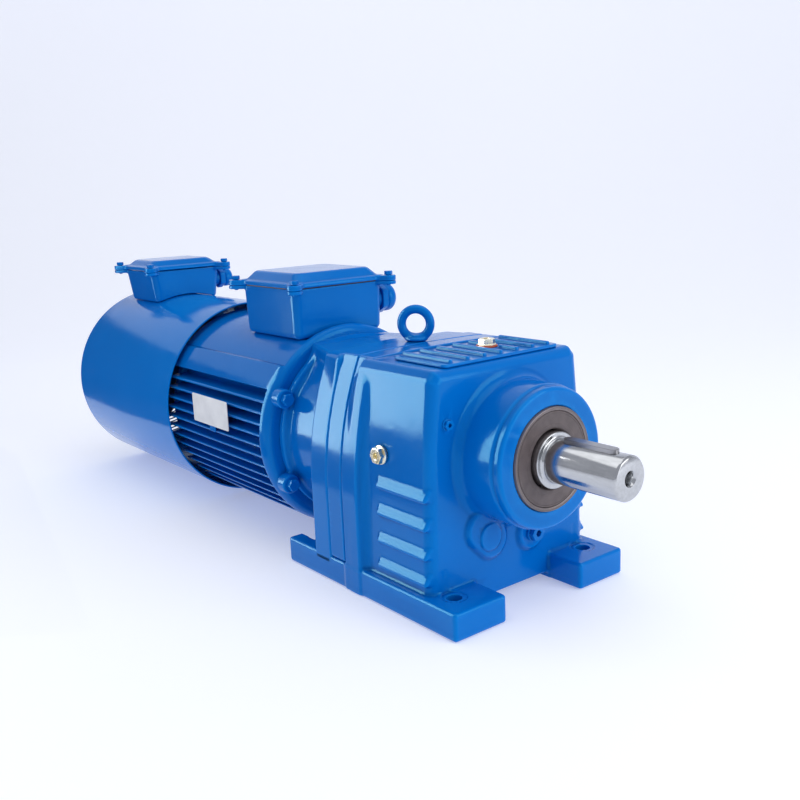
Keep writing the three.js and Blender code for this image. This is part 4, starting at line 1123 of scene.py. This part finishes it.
guard_x = cover_rear + 5.5
wires = []
for radius in range(30, 145, 6):
    wires.append(turned_mesh("hoop", hoop(guard_x, radius, 1.3), 0, MOTOR_Z, 96, closed=True))
for spoke in range(6):
    a = math.radians(60 * spoke + 30)
    direction = Vector((0, math.cos(a), math.sin(a)))
    centre = Vector((guard_x + 1.6, 0, MOTOR_Z))
    wires.append(rod_mesh("spoke", centre + 22 * direction, centre + 143 * direction, 1.6))
wires.append(turned_mesh("hub", [(guard_x - 2.2, 0), (guard_x - 2.2, 22), (guard_x - 1, 24),
                                 (guard_x + 1.5, 24), (guard_x + 1.5, 0)], 0, MOTOR_Z, 64))
piece("fan_guard_wires", merged("fan_guard_wires", wires), "housing", SHEET_BLUE, "blue_enamel",
      "fan_guard")


def fan_motor_field(x, y, z):
    lo, hi = span("fan_motor")
    up = z - MOTOR_Z
    radius = length(y, up)
    angle = np.arctan2(up, y)
    flutes = radius * np.sin(angle - np.round(angle / (math.pi / 12)) * (math.pi / 12))
    barrel = bar(x, y, up, lo[0], hi[0], 42, 3)
    groove = meet(meet(np.abs(flutes) - 1.6, 39.5 - radius, 0.5), between(x, lo[0] + 9, hi[0] - 9), 1)
    return cut(barrel, groove, 0.8)


cast_node("fan_motor", fan_motor_field, 1.0, BLACK, "black_plastic")


def bracket_field(x, y, z):
    lo, hi = span("fan_bracket")
    up = z - MOTOR_Z
    a, b = (y + up) * math.sqrt(0.5), (y - up) * math.sqrt(0.5)
    arms = np.minimum(np.abs(a), np.abs(b)) - 9
    shape = join(arms, length(y, up) - 50, 14)
    shape = meet(shape, length(y, up) - 152.6, 1)
    return meet(shape, between(x, lo[0], hi[0]), 1.2)


cast_node("fan_bracket", bracket_field, 1.2, BRACKET_STEEL, "bracket_steel")


def impeller_mesh():
    """Moulded hub with seven twisted blades."""
    lo, hi = span("fan_impeller")
    rear, front = lo[0], hi[0]
    hub = [(rear, 0), (rear, 40), *arc(rear + 5, 41, 5, 180, 90, 5)[1:], (front - 1, 46),
           (front, 45), (front, 0)]
    meshes = [turned_mesh("hub", hub, 0, MOTOR_Z, 96)]
    centre = (rear + front) / 2
    for blade in range(7):
        turn = Matrix.Rotation(2 * math.pi * blade / 7, 4, "X")
        points, faces, rings = [], [], 17
        outline = [(t, 1.7 * math.sqrt(max(0, 1 - (2 * t) ** 2))) for t in
                   [-0.5 + i / 12 for i in range(13)]]
        section = outline + [(t, -h) for t, h in outline[-2:0:-1]]
        for i in range(rings):
            share = i / (rings - 1)
            radius = 42 + (138 - 42) * share
            chord = 30 - 3 * share
            pitch = math.radians(46 - 14 * share)
            camber = 3.0
            for t, thick in section:
                along, off = t * chord, thick + camber * (1 - 4 * t * t)
                x = along * math.cos(pitch) - off * math.sin(pitch)
                y = along * math.sin(pitch) + off * math.cos(pitch)
                drop = math.sqrt(max(radius * radius - y * y, 0))
                spot = turn @ Vector((0, y, drop))
                points.append(((centre + x) * MM, spot.y * MM, (MOTOR_Z + spot.z) * MM))
        n = len(section)
        for i in range(rings - 1):
            for k in range(n):
                m = (k + 1) % n
                faces.append((i * n + k, i * n + m, (i + 1) * n + m, (i + 1) * n + k))
        faces += [tuple(range(n))[::-1], tuple((rings - 1) * n + k for k in range(n))]
        mesh = bpy.data.meshes.new("blade")
        mesh.from_pydata(points, [], faces)
        mesh.polygons.foreach_set("use_smooth", np.ones(len(mesh.polygons), bool))
        meshes.append(mesh)
    made = merged("fan_impeller_moulding", meshes)
    made.set_sharp_from_angle(angle=math.radians(40))
    return made


piece("fan_impeller_moulding", impeller_mesh(), "fan", BLACK, "black_plastic", "fan_impeller")

for node, inner, outer in (("drive_end_winding", 66, 96), ("fan_end_winding", 66, 96)):
    lo, hi = span(node)
    middle, r = (inner + outer) / 2, 7
    profile = [*arc(hi[0] - r, outer - r, r, 90, 0, 5), *arc(hi[0] - r, inner + r, r, 0, -90, 5),
               *arc(lo[0] + r, inner + r, r, -90, -180, 5), *arc(lo[0] + r, outer - r, r, 180, 90, 5)]
    piece(node + "_coil", turned_mesh(node + "_coil", profile, 0, MOTOR_Z, closed=True),
          "housing", COPPER, "winding_copper", node)


# ------------------------------------------------------------------ build: terminal boxes
MAIN_BOX = Box("terminal_box", 73, (-240, 326, 23))
FAN_BOX = Box("fan_terminal_box", 58, (-710, 335, 19))


def fan_box_base(x, y, z):
    """The fan's box is cut away underneath to sit on the round cover."""
    return cut(FAN_BOX.base(x, y, z), length(y, z - MOTOR_Z) - cover_radius - 1, 1.5)


for box, base in ((MAIN_BOX, MAIN_BOX.base), (FAN_BOX, fan_box_base)):
    cast_node(box.prefix, base, 1.3, BLUE, "blue_enamel")
    cast_node(box.prefix + "_lid", box.lid_field, 1.3, BLUE, "blue_enamel")
    cast_node(box.prefix + "_gland", box.gland_field, 0.9, BLUE, "blue_enamel")
    for number, (ex, ey) in enumerate(box.ears(), 1):
        seat_z = box.z1 + 8

        def screw(x, y, z):
            return hex_bolt_field(z - seat_z, x - ex, y - ey, 10.5, 6, 2.8, 15)

        name = f"{box.prefix}_screw_{number}"
        mesh = cast_mesh(name, screw, (ex - 7, ey - 7, seat_z - 17), (ex + 7, ey + 7, seat_z + 7),
                         0.6, 0.5)
        stood_for = [f"lid_screw_{number}"] if box is MAIN_BOX else []
        piece(name, mesh, "housing", BLUE, "blue_enamel", *stood_for)

# ------------------------------------------------------------------ finishes of the CAD nodes kept
KEPT = {
    "output_wheel": (GEAR_STEEL, "gear_steel"),
    "intermediate_pinion_shaft": (GEAR_STEEL, "gear_steel"),
    "intermediate_wheel": (GEAR_STEEL, "gear_steel"),
    "motor_pinion": (GEAR_STEEL, "gear_steel"),
    "rotor_shaft": (GEAR_STEEL, "machined_steel"),
    "rotor_core": (CORE_STEEL, "core_steel"),
    "stator_core": (CORE_STEEL, "core_steel"),
    "motor_shaft_seal": (GASKET_RUBBER, "seal_rubber"),
    "terminal_box_gasket": (GASKET_RUBBER, "gasket_rubber"),
    "terminal_block": (BLACK, "black_plastic"),
}
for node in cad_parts:
    if "bearing" in node:
        KEPT[node] = (BEARING_STEEL, "bearing_steel")
for node, (material, slot) in KEPT.items():
    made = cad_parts[node]
    made.data.materials.clear()
    made.data.materials.append(material)


# ------------------------------------------------------------------ floor, light and camera
def backdrop():
    """Pale floor that curves up into a wall far behind the object."""
    n = Nodes("pale_backdrop")
    shade = n.ramp(n.noise(0.6, 2.0), (0.3, (0.79, 0.81, 0.86)), (0.7, (0.81, 0.83, 0.88)))
    n.set(base_color=shade, roughness=0.8, emission_color=(0.85, 0.86, 0.91, 1),
          emission_strength=0.34)
    away = Vector((-math.sin(math.radians(52)), math.cos(math.radians(52)), 0))
    across = Vector((away.y, -away.x, 0))
    bend, reach, top = 1.5, 3.2, 4.5
    profile = [(-6.0, 0.0), (reach - bend, 0.0)]
    for i in range(1, 17):
        a = math.pi / 2 * i / 16
        profile.append((reach - bend + bend * math.sin(a), bend - bend * math.cos(a)))
    profile.append((reach, top))
    floor_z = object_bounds()[0].z - 0.0005
    points = [away * along + across * side + Vector((0, 0, floor_z + height))
              for along, height in profile for side in (-9, 9)]
    faces = [(2 * i, 2 * i + 1, 2 * i + 3, 2 * i + 2) for i in range(len(profile) - 1)]
    mesh = bpy.data.meshes.new("floor")
    mesh.from_pydata([tuple(p) for p in points], [], faces)
    mesh.polygons.foreach_set("use_smooth", np.ones(len(mesh.polygons), bool))
    made = bpy.data.objects.new("floor", mesh)
    bpy.context.scene.collection.objects.link(made)
    mesh.materials.append(n.material)


def softbox(name, centre, target, width, height, power, colour=(1, 1, 1)):
    """A rectangular area light at `centre`, in metres, facing `target`."""
    light = bpy.data.lights.new(name, "AREA")
    light.shape, light.size, light.size_y = "RECTANGLE", width, height
    light.energy, light.color = power, colour
    made = bpy.data.objects.new(name, light)
    made.location = centre
    made.rotation_euler = (Vector(target) - Vector(centre)).to_track_quat("-Z", "Y").to_euler()
    bpy.context.scene.collection.objects.link(made)
    return made


def flag(name, corners, shade):
    """A card that is seen only in reflections: dark ones keep the paint deep, as a studio does."""
    n = Nodes(name)
    n.set(base_color=(*shade, 1), roughness=0.9)
    mesh = bpy.data.meshes.new(name)
    mesh.from_pydata(corners, [], [range(len(corners))])
    mesh.materials.append(n.material)
    made = bpy.data.objects.new(name, mesh)
    bpy.context.scene.collection.objects.link(made)
    made.visible_camera = made.visible_diffuse = made.visible_shadow = False
    made.visible_transmission = False


backdrop()
window = softbox("left_window", (-1.004, -1.03, 0.63), (0.03, -0.16, 0.26), 0.73, 1.28, 24)
window.visible_diffuse = False
softbox("ceiling", (0.2, -0.2, 2.4), (0.0, 0.0, 0.2), 2.6, 2.2, 18)
softbox("right_fill", (2.2, 0.9, 1.0), (0.0, 0.0, 0.2), 1.6, 1.6, 22)
flag("dark_floor", [(-0.15, -0.42, 0.001), (-1.9, -3.2, 0.001), (-4.0, -0.9, 0.001),
                    (-3.6, -0.22, 0.001), (-1.0, -0.24, 0.001)], (0.02, 0.03, 0.05))
flag("dark_wall", [(-1.4, -2.6, 0.0), (-1.4, -2.6, 1.0), (-3.6, 0.9, 1.0), (-3.6, 0.9, 0.0)],
     (0.04, 0.06, 0.09))

world = bpy.data.worlds.new("studio")
world.use_nodes = True
world.node_tree.nodes["Background"].inputs["Color"].default_value = (0.79, 0.82, 0.92, 1)
world.node_tree.nodes["Background"].inputs["Strength"].default_value = 0.60
bpy.context.scene.world = world

scene = bpy.context.scene
scene.view_settings.view_transform = "Standard"

CAMERA = {"place": (0.87593, -0.76041, 0.48127), "azimuth": 51.833, "elevation": 12.540,
          "roll": -2.413, "lens": 42.77}


def place_camera():
    a, e = math.radians(CAMERA["azimuth"]), math.radians(CAMERA["elevation"])
    back = Vector((math.sin(a) * math.cos(e), -math.cos(a) * math.cos(e), math.sin(e)))
    level = (-back).cross(Vector((0, 0, 1))).normalized()
    upright = level.cross(-back)
    roll = math.radians(CAMERA["roll"])
    right = level * math.cos(roll) + upright * math.sin(roll)
    up = upright * math.cos(roll) - level * math.sin(roll)
    turn = Matrix((right, up, back)).transposed().to_4x4()
    data = bpy.data.cameras.new("camera")
    data.lens, data.sensor_width = CAMERA["lens"], 36
    data.clip_start, data.clip_end = 0.01, 60
    made = bpy.data.objects.new("camera", data)
    made.matrix_world = Matrix.Translation(Vector(CAMERA["place"])) @ turn
    scene.collection.objects.link(made)
    scene.camera = made


place_camera()
